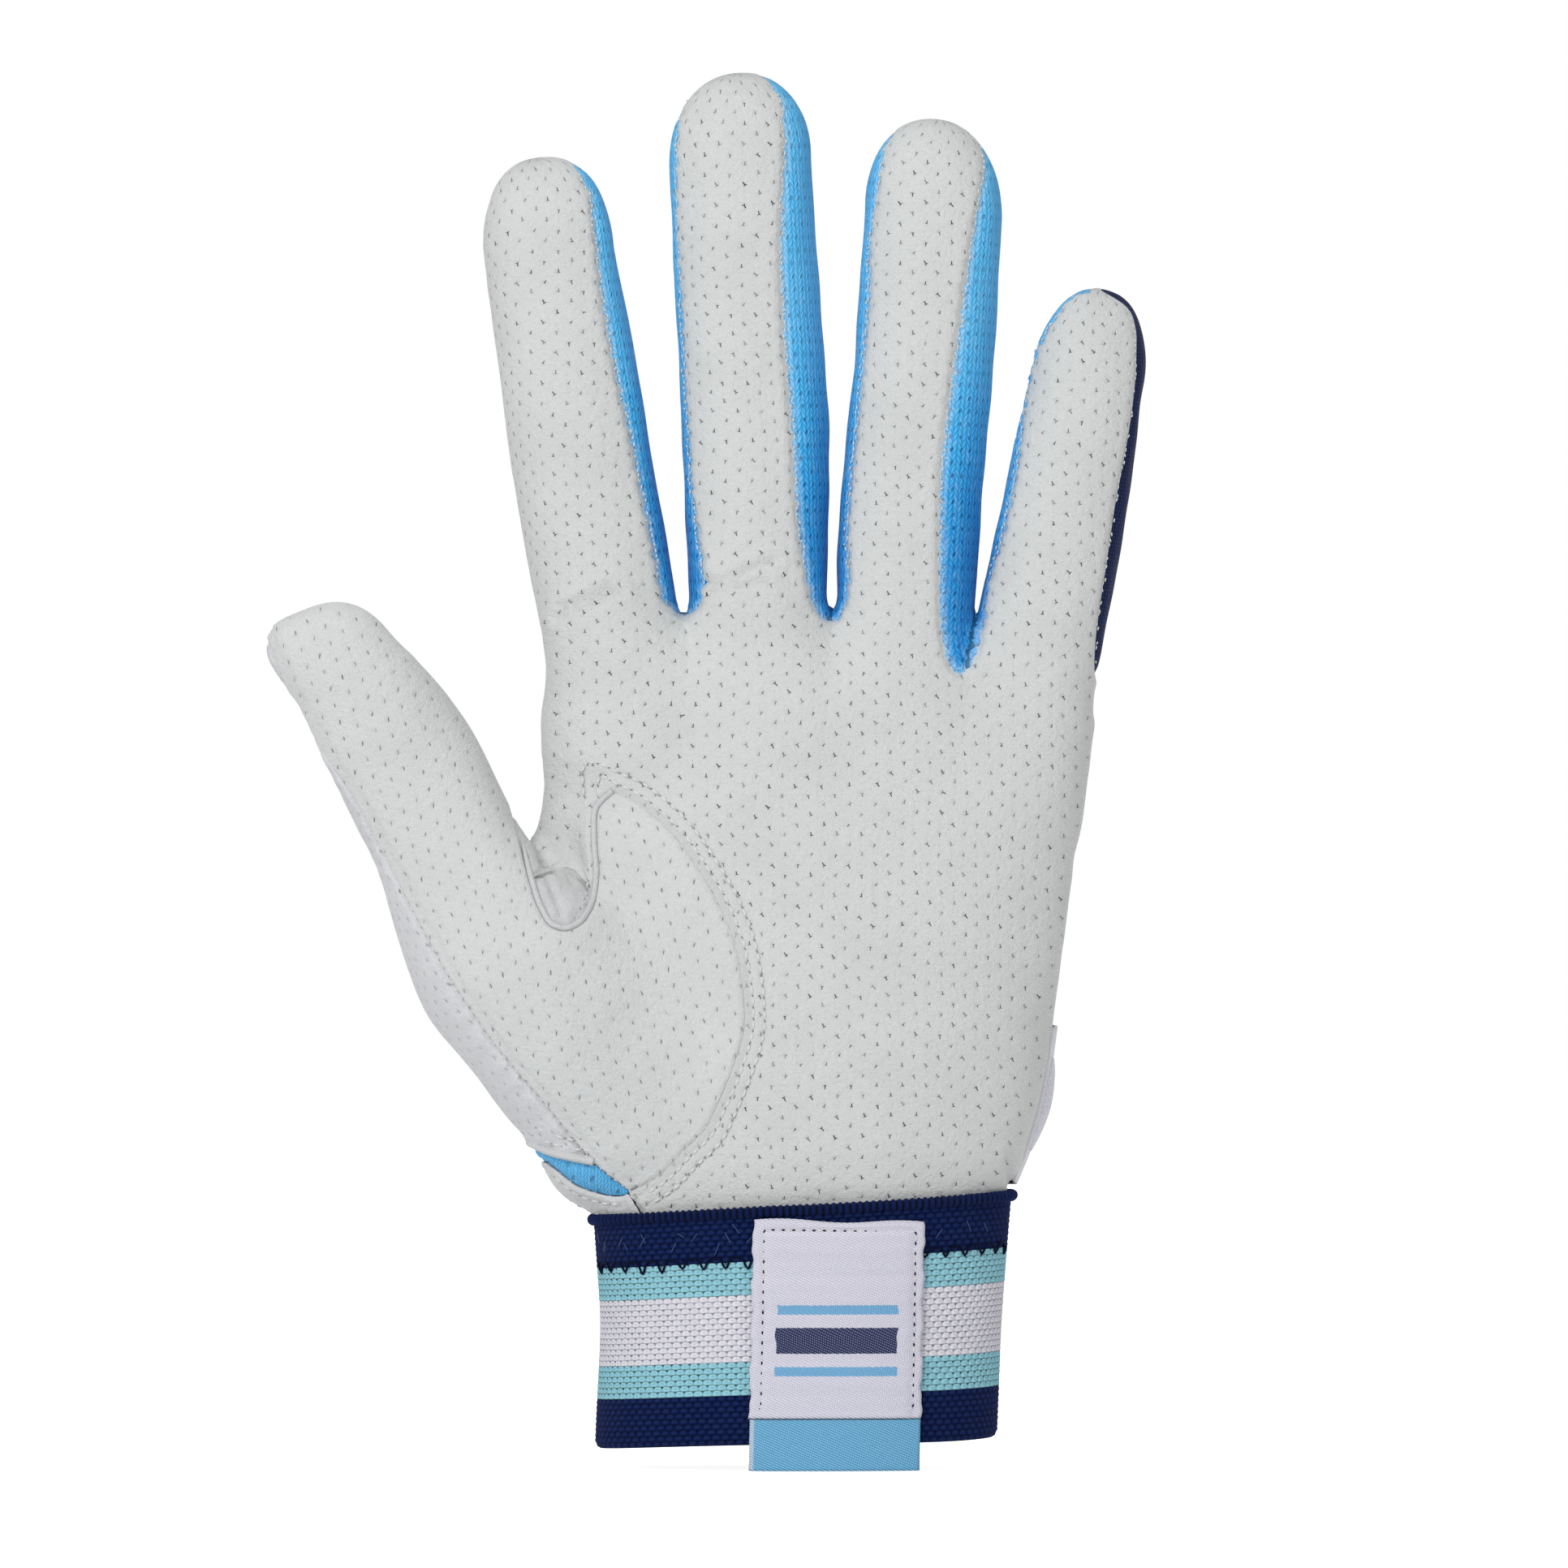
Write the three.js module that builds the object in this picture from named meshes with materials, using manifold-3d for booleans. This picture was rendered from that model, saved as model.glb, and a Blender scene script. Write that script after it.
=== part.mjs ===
// Left-hand batting glove: palm towards -Y, fingers up along +Z, wrist rim at z = 0, in millimetres.
import * as THREE from "three";
import { mergeVertices } from "three/addons/utils/BufferGeometryUtils.js";
import Module from "manifold-3d";

const wasm = await Module();
wasm.setup();

// Thicknesses and clearances.
const panelWall = 1.0;
const cuffWall = 1.8;
const edgeWall = 1.2;
const labelWall = 0.7;
const strapWall = 1.1;
const patchWall = 0.6;
const seamGap = 0.4;
const flexGap = 0.6;
const layGap = 0.3;

// Squareness of the cross-sections: 2 is an ellipse.
const squareness = 2.3;
const sectionSides = 16;

// Digits: root is the middle of the base flex line in x and z, lean tilts towards the thumb in degrees.
// Rows, from the flex line up: distance, radial and ulnar half-width, front and back half-depth, shift in y.
// Leather gives the front panel's edges from the centre line at the base, the middle and the tip.
const index = {
  name: "index",
  root: [-31.3, 137.8],
  lean: 9.5,
  knuckle: 28,
  tip: 72.5,
  tipShift: 2.6,
  rows: [
    [0, 11.4, 11.3, 9.8, 9.8, 0],
    [36, 11.3, 11.3, 9.3, 9.3, 0],
    [59.5, 10.7, 10.7, 8.7, 8.7, 0],
  ],
  leather: { ulnar: [9.7, 8.5, 7.9] },
};
const middle = {
  name: "middle",
  root: [-6.3, 139.1],
  lean: 2.75,
  knuckle: 32,
  tip: 84.2,
  tipShift: 1.6,
  rows: [
    [0, 11.3, 11.4, 10.0, 10.0, 0],
    [42, 11.2, 11.8, 9.5, 9.5, 0],
    [71.2, 11.2, 11.3, 8.9, 8.9, 0],
  ],
  leather: { radial: [9.3, 10.2, 10.0], ulnar: [8.0, 6.8, 7.4] },
};
const ring = {
  name: "ring",
  root: [17.3, 137.2],
  lean: -4.3,
  knuckle: 29,
  tip: 78.4,
  tipShift: -1.2,
  rows: [
    [0, 11.0, 11.0, 9.8, 9.8, 0],
    [39, 10.9, 11.1, 9.2, 9.2, 0],
    [65.9, 10.6, 11.1, 8.7, 8.7, 0],
  ],
  leather: { radial: [9.4, 10.0, 9.4], ulnar: [6.2, 5.0, 7.3] },
};
const little = {
  name: "little",
  root: [39.1, 128.6],
  lean: -10,
  knuckle: 22,
  tip: 60.3,
  tipShift: -1.2,
  rows: [
    [0, 9.5, 9.8, 9.0, 9.0, 0],
    [28, 9.7, 10.2, 8.5, 8.5, 0],
    [48.3, 9.0, 9.3, 7.9, 7.9, 0],
  ],
  leather: { radial: [8.6, 8.8, 7.2], ulnar: [8.9, 9.1, 8.2] },
};
// The thumb's rows run down past its flex line through the ball of the thumb to the wrist.
const thumb = {
  name: "thumb",
  root: [-57.2, 102.0],
  lean: 30.7,
  knuckle: 19.5,
  tip: 42.3,
  tipShift: -3.2,
  rows: [
    [-60, 14.6, 16, 14, 13, -1],
    [-50, 15.6, 19, 16.5, 12.5, -2],
    [-38, 17.2, 19, 18, 12, -3],
    [-27, 18.6, 17, 17.5, 11.5, -4],
    [-18, 17.9, 13.5, 15.5, 11, -4.5],
    [-7.4, 15.0, 10.6, 12.6, 10.4, -5],
    [0, 13.2, 10.4, 11.2, 10, -5.5],
    [10.4, 12.5, 10.7, 10.2, 9.4, -7],
    [27, 11.4, 9.0, 9.2, 8.8, -9.2],
  ],
  leather: { radial: [11.4, 11.3, 10.6] },
};
const fingers = [index, middle, ring, little];
const rootDepth = 24;
const wrapLine = 4;
const thumbSplit = -3;
const backSeamInset = 1.6;
const thumbSeamRise = 1;
const overThumb = 140;

// Knitted cuff rows: level, radial and ulnar half-width, front and back half-depth.
const cuffTop = 37.2;
const cuffRows = [
  [0, 33.2, 32.4, 19.6, 19.6],
  [20, 32.2, 33.2, 19.4, 19.4],
  [cuffTop, 33.4, 34.6, 19.8, 19.8],
];
const tuck = 7;
const cuffStep = 0.8;
const openRun = 5;
const edgeHeight = 1.8;

// Hand rows above the cuff, in the same order, and the crest between the fingers as x and z.
const handRows = [
  [cuffTop + cuffStep, 33.0, 34.0, 17.8, 17.4],
  [42, 35.8, 35.2, 18.2, 17.0],
  [48, 37.0, 37.8, 18.6, 16.4],
  [62, 38.0, 40.4, 18.6, 15.4],
  [80, 39.5, 42.8, 17.0, 14.2],
  [100, 41.0, 45.6, 14.0, 12.6],
  [116, 41.3, 47.4, 11.8, 11.4],
];
const crest = [
  [-42, 131.5],
  [-18.2, 135.4],
  [5.1, 134.4],
  [26.7, 125.8],
  [49, 119.5],
];
// Crotch pieces: half-width of each, drop below the crest and half-depth.
const crotchReach = [4.2, 6.6, 4.8];
const crotchDrop = 6.5;
const crotchDepth = 6.4;

// Seams of the thumb piece as x and z, from the tip down to the wrist and back up round the palm.
const sideSeam = [
  [-84.9, 129.2],
  [-71.3, 103.6],
  [-57.1, 76.8],
  [-42.0, 56.4],
  [-27.6, 41.3],
];
const thumbArc = [
  [-27.1, 41.3],
  [-14.6, 53.3],
  [-8.7, 71.1],
  [-13.6, 89.6],
  [-24.1, 103.0],
  [-29.7, 106.3],
];
const webSeam = [
  [-29.7, 106.3],
  [-32.5, 102.5],
  [-32.1, 93.3],
  [-37.0, 83.9],
  [-44.1, 93.3],
  [-47.2, 103.8],
];
const thumbCrown = [
  [-52, 116],
  [-70, overThumb],
];
const webFold = [
  [-44.3, 94.6],
  [-32.4, 96.2],
];
// Seam between the palm and the strap's base, from the thumb piece's foot down under the cuff.
const sideFoot = [
  [-25.1, 37.5],
  [-24.5, -200],
];
const thumbBackSeam = [
  [-43.8, overThumb],
  [-43.8, 97],
  [-38, 75],
  [-31, 49],
  [-27, -200],
];
// Knit window at the base of the thumb: upper and lower edge as x and z.
const windowUpper = [
  [-28.2, 42.0],
  [-33.3, 45.8],
  [-43.4, 48.9],
  [-60, 52],
];
const windowLower = [
  [-60, 47],
  [-43.4, 45.6],
  [-35.7, 42.0],
  [-28.2, 40.9],
];

// Label on the cuff's front: its middle in x, width, height range and the length of its loose tail.
const labelMiddle = 6.3;
const labelWidth = 27.8;
const labelTop = 37.0;
const labelFold = 5.0;
const tailEnd = -3.5;

// Closure strap across the back: levels, and angles round the hand from the front through the little finger.
const strapLow = 42.5;
const strapHigh = 68.5;
const strapFree = 88;
const strapHinge = 218;
const patchFrom = 108;
const patchTo = 152;
const patchMargin = 3.5;
const rideRamp = 8;
const tabFrom = 90;
const tabTo = 104;
const tabMargin = 2;

const crumb = 0.01;
const DEG = Math.PI / 180;
const far = 200;

// Linear reading of rows whose first entry is the distance.
function rowAt(rows, place) {
  let low = 0;
  while (low < rows.length - 2 && place > rows[low + 1][0]) {
    low += 1;
  }
  const span = rows[low + 1][0] - rows[low][0];
  const share = THREE.MathUtils.clamp((place - rows[low][0]) / span, 0, 1);
  return rows[low].map((value, i) => THREE.MathUtils.lerp(value, rows[low + 1][i], share));
}

// Reading of evenly spaced values at a share of their length.
function share3(list, t) {
  const place = THREE.MathUtils.clamp(t, 0, 1) * (list.length - 1);
  const low = Math.min(Math.floor(place), list.length - 2);
  return THREE.MathUtils.lerp(list[low], list[low + 1], place - low);
}

// Point of a rounded section, the angle counted from the front through the ulnar side.
function sectionPoint(radial, ulnar, front, back, degrees) {
  const s = Math.sin(degrees * DEG);
  const c = Math.cos(degrees * DEG);
  const power = 2 / squareness;
  const x = (s >= 0 ? ulnar : -radial) * Math.abs(s) ** power;
  const y = (c >= 0 ? -front : back) * Math.abs(c) ** power;
  return [x, y];
}

// One ring of a loft, grown or shrunk by outset and squeezed by scale.
function ringOf(row, outset, scale, shiftX) {
  const [level, radial, ulnar, front, back, y = 0] = row;
  const points = [];
  for (let i = 0; i < sectionSides; i += 1) {
    const sizes = [radial, ulnar, front, back].map((size) => (size + outset) * scale);
    const [px, py] = sectionPoint(...sizes, (360 * i) / sectionSides);
    points.push(new THREE.Vector3(px + shiftX, py + y, level));
  }
  return points;
}

// Solid from an indexed three.js geometry.
function solidOf(geometry) {
  const bare = geometry.clone();
  bare.deleteAttribute("normal");
  bare.deleteAttribute("uv");
  const merged = mergeVertices(bare, 1e-5);
  const mesh = new wasm.Mesh({
    numProp: 3,
    vertProperties: new Float32Array(merged.attributes.position.array),
    triVerts: new Uint32Array(merged.index.array),
  });
  return new wasm.Manifold(mesh);
}

// Closed loft through rings of equal count, bottom to top, counter-clockwise seen from above.
function loft(rings) {
  const count = rings[0].length;
  const points = rings.flat();
  const bottom = points.length;
  const middleOf = (list) => {
    const sum = new THREE.Vector3();
    list.forEach((p) => sum.add(p));
    return sum.divideScalar(list.length);
  };
  points.push(middleOf(rings[0]), middleOf(rings[rings.length - 1]));
  const indices = [];
  for (let r = 0; r + 1 < rings.length; r += 1) {
    for (let i = 0; i < count; i += 1) {
      const a = r * count + i;
      const b = r * count + ((i + 1) % count);
      indices.push(a, b, b + count, a, b + count, a + count);
    }
  }
  const last = (rings.length - 1) * count;
  for (let i = 0; i < count; i += 1) {
    const next = (i + 1) % count;
    indices.push(bottom, next, i);
    indices.push(bottom + 1, last + i, last + next);
  }
  const geometry = new THREE.BufferGeometry().setFromPoints(points);
  geometry.setIndex(indices);
  return solidOf(geometry);
}

// Loft of a digit in its own frame, its walls drawn in by inset.
function digitSolid(digit, inset, from) {
  const rows = digit.rows;
  const top = rows[rows.length - 1];
  const rings = [ringOf([from, ...rowAt(rows, from).slice(1)], -inset, 1, 0)];
  for (const row of rows.filter(([place]) => place > from)) {
    rings.push(ringOf(row, -inset, 1, 0));
  }
  const rise = digit.tip - inset - top[0];
  for (const turn of [30, 56, 78]) {
    const up = Math.sin(turn * DEG);
    const row = [top[0] + rise * up, ...top.slice(1)];
    rings.push(ringOf(row, -inset, Math.cos(turn * DEG), digit.tipShift * up));
  }
  return loft(rings);
}

// Frame of a digit in the glove.
function digitMatrix(digit) {
  const turn = new THREE.Matrix4().makeRotationY(-digit.lean * DEG);
  return turn.setPosition(digit.root[0], 0, digit.root[1]);
}

const placed = (solid, matrix) => solid.transform(matrix.elements.slice());

// Prism through an outline in x and z, between two levels of y.
function prism(outline, yFront, yBack) {
  const shape = new THREE.Shape(outline.map(([x, z]) => new THREE.Vector2(x, z)));
  const depth = yBack - yFront;
  const geometry = new THREE.ExtrudeGeometry(shape, { depth, bevelEnabled: false });
  geometry.rotateX(Math.PI / 2);
  geometry.translate(0, yBack, 0);
  return solidOf(geometry);
}

// Box between two corners.
function block(x0, y0, z0, x1, y1, z1) {
  const geometry = new THREE.BoxGeometry(x1 - x0, y1 - y0, z1 - z0);
  geometry.translate((x0 + x1) / 2, (y0 + y1) / 2, (z0 + z1) / 2);
  return solidOf(geometry);
}

// Outline moved outwards by a distance, for the gap beside a seam.
function grown(outline, distance) {
  const turn = THREE.ShapeUtils.area(outline.map(([x, z]) => new THREE.Vector2(x, z))) > 0 ? 1 : -1;
  return outline.map((point, i) => {
    const before = outline[(i + outline.length - 1) % outline.length];
    const after = outline[(i + 1) % outline.length];
    const normal = (a, b) => new THREE.Vector2(b[1] - a[1], a[0] - b[0]).normalize().multiplyScalar(turn);
    const first = normal(before, point);
    const second = normal(point, after);
    const side = first.clone().add(second).normalize();
    const reach = distance / Math.max(0.4, side.dot(first));
    return [point[0] + side.x * reach, point[1] + side.y * reach];
  });
}

// Points along a smooth curve through seam points.
function smooth(points, count) {
  const curve = new THREE.SplineCurve(points.map(([x, z]) => new THREE.Vector2(x, z)));
  return curve.getPoints(count).map((p) => [p.x, p.y]);
}

// Largest body of a cut, without the crumbs and hair-thin edges that cutting leaves.
function largest(solid) {
  const bodies = solid.decompose();
  return bodies.reduce((a, b) => (a.volume() > b.volume() ? a : b)).simplify(crumb);
}

const colours = {
  leather: 0xdfe2e1,
  mesh: 0x5aaef0,
  navy: 0x1a2550,
  label: 0xebe8f3,
  tail: 0x77bde6,
  laminate: 0xf0f0f2,
  loop: 0xd8dade,
};

const glove = new THREE.Group();
glove.name = "batting_glove";

// Named mesh from a solid, in the frame of its parent group.
function addMesh(parent, name, solid, colour, lift = 0) {
  const raw = largest(solid).getMesh();
  const geometry = new THREE.BufferGeometry();
  const positions = new Float32Array(raw.vertProperties);
  geometry.setAttribute("position", new THREE.BufferAttribute(positions, 3));
  geometry.setIndex(Array.from(raw.triVerts));
  geometry.translate(0, 0, -lift);
  geometry.computeVertexNormals();
  const material = new THREE.MeshStandardMaterial({ color: colour, roughness: 0.8 });
  const mesh = new THREE.Mesh(geometry, material);
  mesh.name = name;
  parent.add(mesh);
}

// Front or back outline of a finger panel, its edges given from the centre line.
function panelOutline(digit, radialEdges, ulnarEdges) {
  const outline = [];
  const shares = [0, 0.5, 0.85];
  for (const t of shares) {
    outline.push([share3(ulnarEdges, t), t * digit.tip]);
  }
  outline.push([share3(ulnarEdges, 1), far], [-share3(radialEdges, 1), far]);
  for (const t of shares.reverse()) {
    outline.push([-share3(radialEdges, t), t * digit.tip]);
  }
  outline.push([-radialEdges[0], -far], [ulnarEdges[0], -far]);
  return outline;
}

// Cuts a finger's shell along its seams into front, back and fourchettes, and each at the knuckle.
function addFinger(digit) {
  const group = new THREE.Group();
  group.name = `${digit.name}_finger`;
  group.position.set(digit.root[0], 0, digit.root[1]);
  group.rotation.y = -digit.lean * DEG;
  const end = new THREE.Group();
  end.name = `${digit.name}_end`;
  end.position.z = digit.knuckle;
  group.add(end);
  glove.add(group);

  const shell = digitSolid(digit, 0, -rootDepth).subtract(digitSolid(digit, panelWall, -rootDepth - openRun));
  const wide = [far, far, far];
  const radial = digit.leather.radial ?? wide;
  const ulnar = digit.leather.ulnar;
  const frontLine = panelOutline(digit, radial, ulnar);
  const wraps = radial === wide;
  const fold = wraps ? wrapLine : 0;
  let front = prism(frontLine, -far, 0);
  let frontWide = prism(grown(frontLine, seamGap), -far, seamGap);
  if (wraps) {
    front = front.add(block(-far, -far, -far, 0, fold, far));
    frontWide = frontWide.add(block(-far, -far, -far, seamGap, fold + seamGap, far));
  }
  const rest = shell.subtract(frontWide);
  const radialBack = digit.rows.map((row) => row[1] - backSeamInset);
  const ulnarBack = digit.rows.map((row) => row[2] - backSeamInset);
  const ulnarSewn = digit !== little;
  const backLine = panelOutline(digit, wraps ? wide : radialBack, ulnarSewn ? ulnarBack : wide);
  const backFrom = ulnarSewn ? 0 : -far;
  let back = prism(backLine, 0, far);
  let backWide = prism(grown(backLine, seamGap), -seamGap, far);
  if (!ulnarSewn) {
    back = back.add(block(0, backFrom, -far, far, far, far));
    backWide = backWide.add(block(-seamGap, backFrom, -far, far, far, far));
  }
  const panels = { front: [shell.intersect(front), colours.leather] };
  panels.back = [rest.intersect(back), colours.navy];
  const walls = rest.subtract(backWide);
  if (!wraps) {
    panels.radial_fourchette = [walls.intersect(block(-far, -far, -far, 0, far, far)), colours.mesh];
  }
  if (ulnarSewn) {
    panels.ulnar_fourchette = [walls.intersect(block(0, -far, -far, far, far, far)), colours.mesh];
  }
  const lower = block(-far, -far, flexGap / 2, far, far, digit.knuckle - flexGap / 2);
  const upper = block(-far, -far, digit.knuckle + flexGap / 2, far, far, far);
  for (const [kind, [solid, colour]] of Object.entries(panels)) {
    addMesh(group, `${digit.name}_${kind}_lower`, solid.intersect(lower), colour);
    addMesh(end, `${digit.name}_${kind}_upper`, solid.intersect(upper), colour, digit.knuckle);
  }
}

// Cuts the thumb above its flex line into front and back leather, each at the knuckle.
function addThumb() {
  const group = new THREE.Group();
  group.name = "thumb_digit";
  group.position.set(thumb.root[0], 0, thumb.root[1]);
  group.rotation.y = -thumb.lean * DEG;
  const end = new THREE.Group();
  end.name = "thumb_end";
  end.position.z = thumb.knuckle;
  group.add(end);
  glove.add(group);

  const shell = digitSolid(thumb, 0, thumb.rows[0][0]).subtract(digitSolid(thumb, panelWall, -far));
  const outline = panelOutline(thumb, thumb.leather.radial, [far, far, far]);
  const rows = thumb.rows;
  const split = rowAt(rows, 0)[5] + thumbSeamRise;
  const front = shell.intersect(prism(outline, -far, split));
  const back = shell.subtract(prism(grown(outline, seamGap), -far, split + seamGap));
  const lower = block(-far, -far, flexGap / 2, far, far, thumb.knuckle - flexGap / 2);
  const upper = block(-far, -far, thumb.knuckle + flexGap / 2, far, far, far);
  for (const [kind, solid] of [["front", front], ["back", back]]) {
    addMesh(group, `thumb_${kind}_lower`, solid.intersect(lower), colours.leather);
    addMesh(end, `thumb_${kind}_upper`, solid.intersect(upper), colours.leather, thumb.knuckle);
  }
}

// Height of the crest between the fingers at a place across the hand.
const crestAt = (x) => rowAt(crest, x)[1];

// Loft of the hand from inside the cuff up to the crest between the fingers.
function handSolid(inset, from) {
  const rings = [];
  for (const level of [from, cuffTop - tuck, cuffTop]) {
    const row = [level, ...rowAt(cuffRows, Math.max(level, 0)).slice(1)];
    rings.push(ringOf(row, -cuffWall - layGap - inset, 1, 0));
  }
  for (const row of handRows) {
    rings.push(ringOf(row, -inset, 1, 0));
  }
  const top = handRows[handRows.length - 1];
  for (const turn of [35, 60, 82]) {
    const points = ringOf(top, -inset, 1, 0);
    const up = Math.sin(turn * DEG);
    for (const p of points) {
      p.z = THREE.MathUtils.lerp(top[0], crestAt(p.x) - inset, up);
      p.y *= Math.cos(turn * DEG);
    }
    rings.push(points);
  }
  return loft(rings);
}

// Whole-hand shell below the flex lines, the digits' roots joined in.
function rootShell() {
  let outer = handSolid(0, cuffTop - tuck);
  let inner = handSolid(panelWall, cuffTop - tuck - openRun);
  for (const digit of [...fingers, thumb]) {
    const matrix = digitMatrix(digit);
    const from = digit === thumb ? thumb.rows[0][0] : -rootDepth;
    outer = outer.add(placed(digitSolid(digit, 0, from), matrix));
    inner = inner.add(placed(digitSolid(digit, panelWall, from + panelWall), matrix));
  }
  let shell = outer.subtract(inner);
  for (const digit of [...fingers, thumb]) {
    const reach = Math.max(...digit.rows.slice(-3).map((row) => Math.max(row[1], row[2]))) + flexGap;
    const above = block(-reach, -far, -flexGap / 2, reach, far, far);
    shell = shell.subtract(placed(above, digitMatrix(digit)));
  }
  return largest(shell);
}

// Cuts the hand's shell along its seams.
function addHand() {
  const shell = rootShell();
  const side = smooth(sideSeam, 24);
  const arc = smooth(thumbArc, 20);
  const web = smooth(webSeam, 20);
  const thumbLine = [...side, ...arc.slice(1), ...web.slice(1), ...thumbCrown];
  const outside = [...side, ...sideFoot, [-far, -far], [-far, overThumb]];
  const behind = [...thumbBackSeam, [-far, -far], [-far, overThumb]];
  const windowLine = [...windowUpper, ...windowLower];
  const strapLine = [...windowLower, ...sideFoot, [-60, -far]];
  const gussetLine = [...webFold, ...web.filter(([, z]) => z < webFold[0][1])];

  const window = prism(windowLine, -far, far);
  const windowWide = prism(grown(windowLine, seamGap), -far, far);
  const strapZone = prism(strapLine, -far, far);
  const strapWide = prism(grown(strapLine, seamGap), -far, far);
  const gussetZone = prism(gussetLine, -far, thumbSplit);
  const gussetWide = prism(grown(gussetLine, seamGap), -far, thumbSplit + seamGap);
  const frontThumb = prism(thumbLine, -far, thumbSplit);
  const thumbWide = prism(grown(thumbLine, seamGap), -far, thumbSplit + seamGap);
  const leftOf = prism(outside, -far, far);
  const leftWide = prism(grown(outside, seamGap), -far, far);
  const rearThumb = prism(behind, thumbSplit + seamGap, far);
  const rearWide = prism(grown(behind, seamGap), thumbSplit, far);
  const rear = block(-far, wrapLine + seamGap, -far, far, far, far);
  const fore = block(-far, -far, -far, far, wrapLine, far);

  let body = shell;
  const crotches = [];
  crest.slice(1, 4).forEach(([x, z], i) => {
    const boxOf = (gap) => {
      const reach = crotchReach[i] + gap;
      const depth = crotchDepth + gap;
      return block(x - reach, -depth, z - crotchDrop - gap, x + reach, depth, far);
    };
    crotches.push(body.intersect(boxOf(0)));
    body = body.subtract(boxOf(seamGap));
  });
  addMesh(glove, "crotch_index_middle", crotches[0], colours.mesh);
  addMesh(glove, "crotch_middle_ring", crotches[1], colours.mesh);
  addMesh(glove, "crotch_ring_little", crotches[2], colours.mesh);

  const lowLeft = body.intersect(leftOf.add(rearThumb));
  addMesh(glove, "thumb_base_window", lowLeft.intersect(window), colours.mesh);
  addMesh(glove, "strap_base", lowLeft.intersect(strapZone).subtract(windowWide), colours.laminate);
  const radial = lowLeft.subtract(windowWide).subtract(strapWide);
  addMesh(glove, "thumb_side_panel", radial, colours.leather);

  const inner = body.subtract(leftWide);
  addMesh(glove, "web_gusset", inner.intersect(gussetZone), colours.leather);
  const ball = inner.intersect(frontThumb).subtract(gussetWide);
  addMesh(glove, "thumb_ball_panel", ball, colours.leather);
  const palm = inner.intersect(fore).subtract(thumbWide).subtract(gussetWide).subtract(rearWide);
  addMesh(glove, "palm_panel", palm, colours.leather);
  const back = body.intersect(rear).subtract(rearWide).subtract(leftWide);
  addMesh(glove, "back_panel", back, colours.navy);
}

// Point outside the hand or the cuff, at a level, an angle and a distance out from its surface.
function handPoint(level, degrees, outset) {
  const row = rowAt(handRows, level);
  const [x, y] = sectionPoint(...row.slice(1, 5).map((size) => size + outset), degrees);
  return new THREE.Vector3(x, y, level);
}
function cuffPoint(level, degrees, outset) {
  const row = rowAt(cuffRows, level);
  const [x, y] = sectionPoint(...row.slice(1, 5).map((size) => size + outset), degrees);
  return new THREE.Vector3(x, y, level);
}

// Sheet with a thickness over a grid, from a point function of across, up and depth shares.
function sheet(point, across, up) {
  const rings = [];
  for (let j = 0; j <= up; j += 1) {
    const ring = [];
    for (let i = 0; i <= across; i += 1) {
      ring.push(point(i / across, j / up, 1));
    }
    for (let i = across; i >= 0; i -= 1) {
      ring.push(point(i / across, j / up, 0));
    }
    rings.push(ring);
  }
  const count = rings[0].length;
  const points = rings.flat();
  const indices = [];
  for (let r = 0; r < up; r += 1) {
    for (let i = 0; i < count; i += 1) {
      const a = r * count + i;
      const b = r * count + ((i + 1) % count);
      indices.push(a, b, b + count, a, b + count, a + count);
    }
  }
  const top = up * count;
  for (let i = 0; i < across; i += 1) {
    const mate = count - 2 - i;
    indices.push(i, mate, i + 1, i, mate + 1, mate);
    indices.push(top + i, top + i + 1, top + mate, top + i, top + mate, top + mate + 1);
  }
  const geometry = new THREE.BufferGeometry().setFromPoints(points);
  geometry.setIndex(indices);
  return solidOf(geometry);
}

// Ring of a wall thickness between levels, from a point function of level, angle and outset.
function band(point, levels, inner, outer) {
  const ringAt = (level, outset, over) => {
    const points = [];
    for (let i = 0; i < 2 * sectionSides; i += 1) {
      const p = point(level, (180 * i) / sectionSides, outset);
      p.z += over;
      points.push(p);
    }
    return points;
  };
  const last = levels.length - 1;
  const outside = loft(levels.map((level) => ringAt(level, outer, 0)));
  const inside = loft(levels.map((level, i) => ringAt(level, inner, i === 0 ? -1 : i === last ? 1 : 0)));
  return outside.subtract(inside);
}

// Knitted cuff, its overlocked top edge, and the label with its loose tail.
function addCuff() {
  addMesh(glove, "cuff_band", band(cuffPoint, cuffRows.map((row) => row[0]), -cuffWall, 0), colours.navy);
  const edgeLow = cuffTop + cuffStep + layGap;
  const edge = band(handPoint, [edgeLow, edgeLow + edgeHeight], layGap, layGap + edgeWall);
  addMesh(glove, "cuff_edge", edge, colours.navy);

  // Angle round the cuff at a place across its front.
  const angleAt = (x) => {
    const half = x >= 0 ? cuffRows[1][2] : cuffRows[1][1];
    return Math.asin((x / half) * Math.abs(x / half) ** (squareness / 2 - 1)) / DEG;
  };
  const from = angleAt(labelMiddle - labelWidth / 2);
  const to = angleAt(labelMiddle + labelWidth / 2);
  const lay = (low, high) => (u, v, w) => {
    const level = THREE.MathUtils.lerp(low, high, v);
    const p = cuffPoint(Math.max(level, 0), THREE.MathUtils.lerp(from, to, u), layGap + w * labelWall);
    p.z = level;
    return p;
  };
  addMesh(glove, "woven_label", sheet(lay(labelFold + flexGap / 2, labelTop), 8, 2), colours.label);
  addMesh(glove, "label_tail", sheet(lay(tailEnd, labelFold - flexGap / 2), 8, 1), colours.tail);
}

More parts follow.
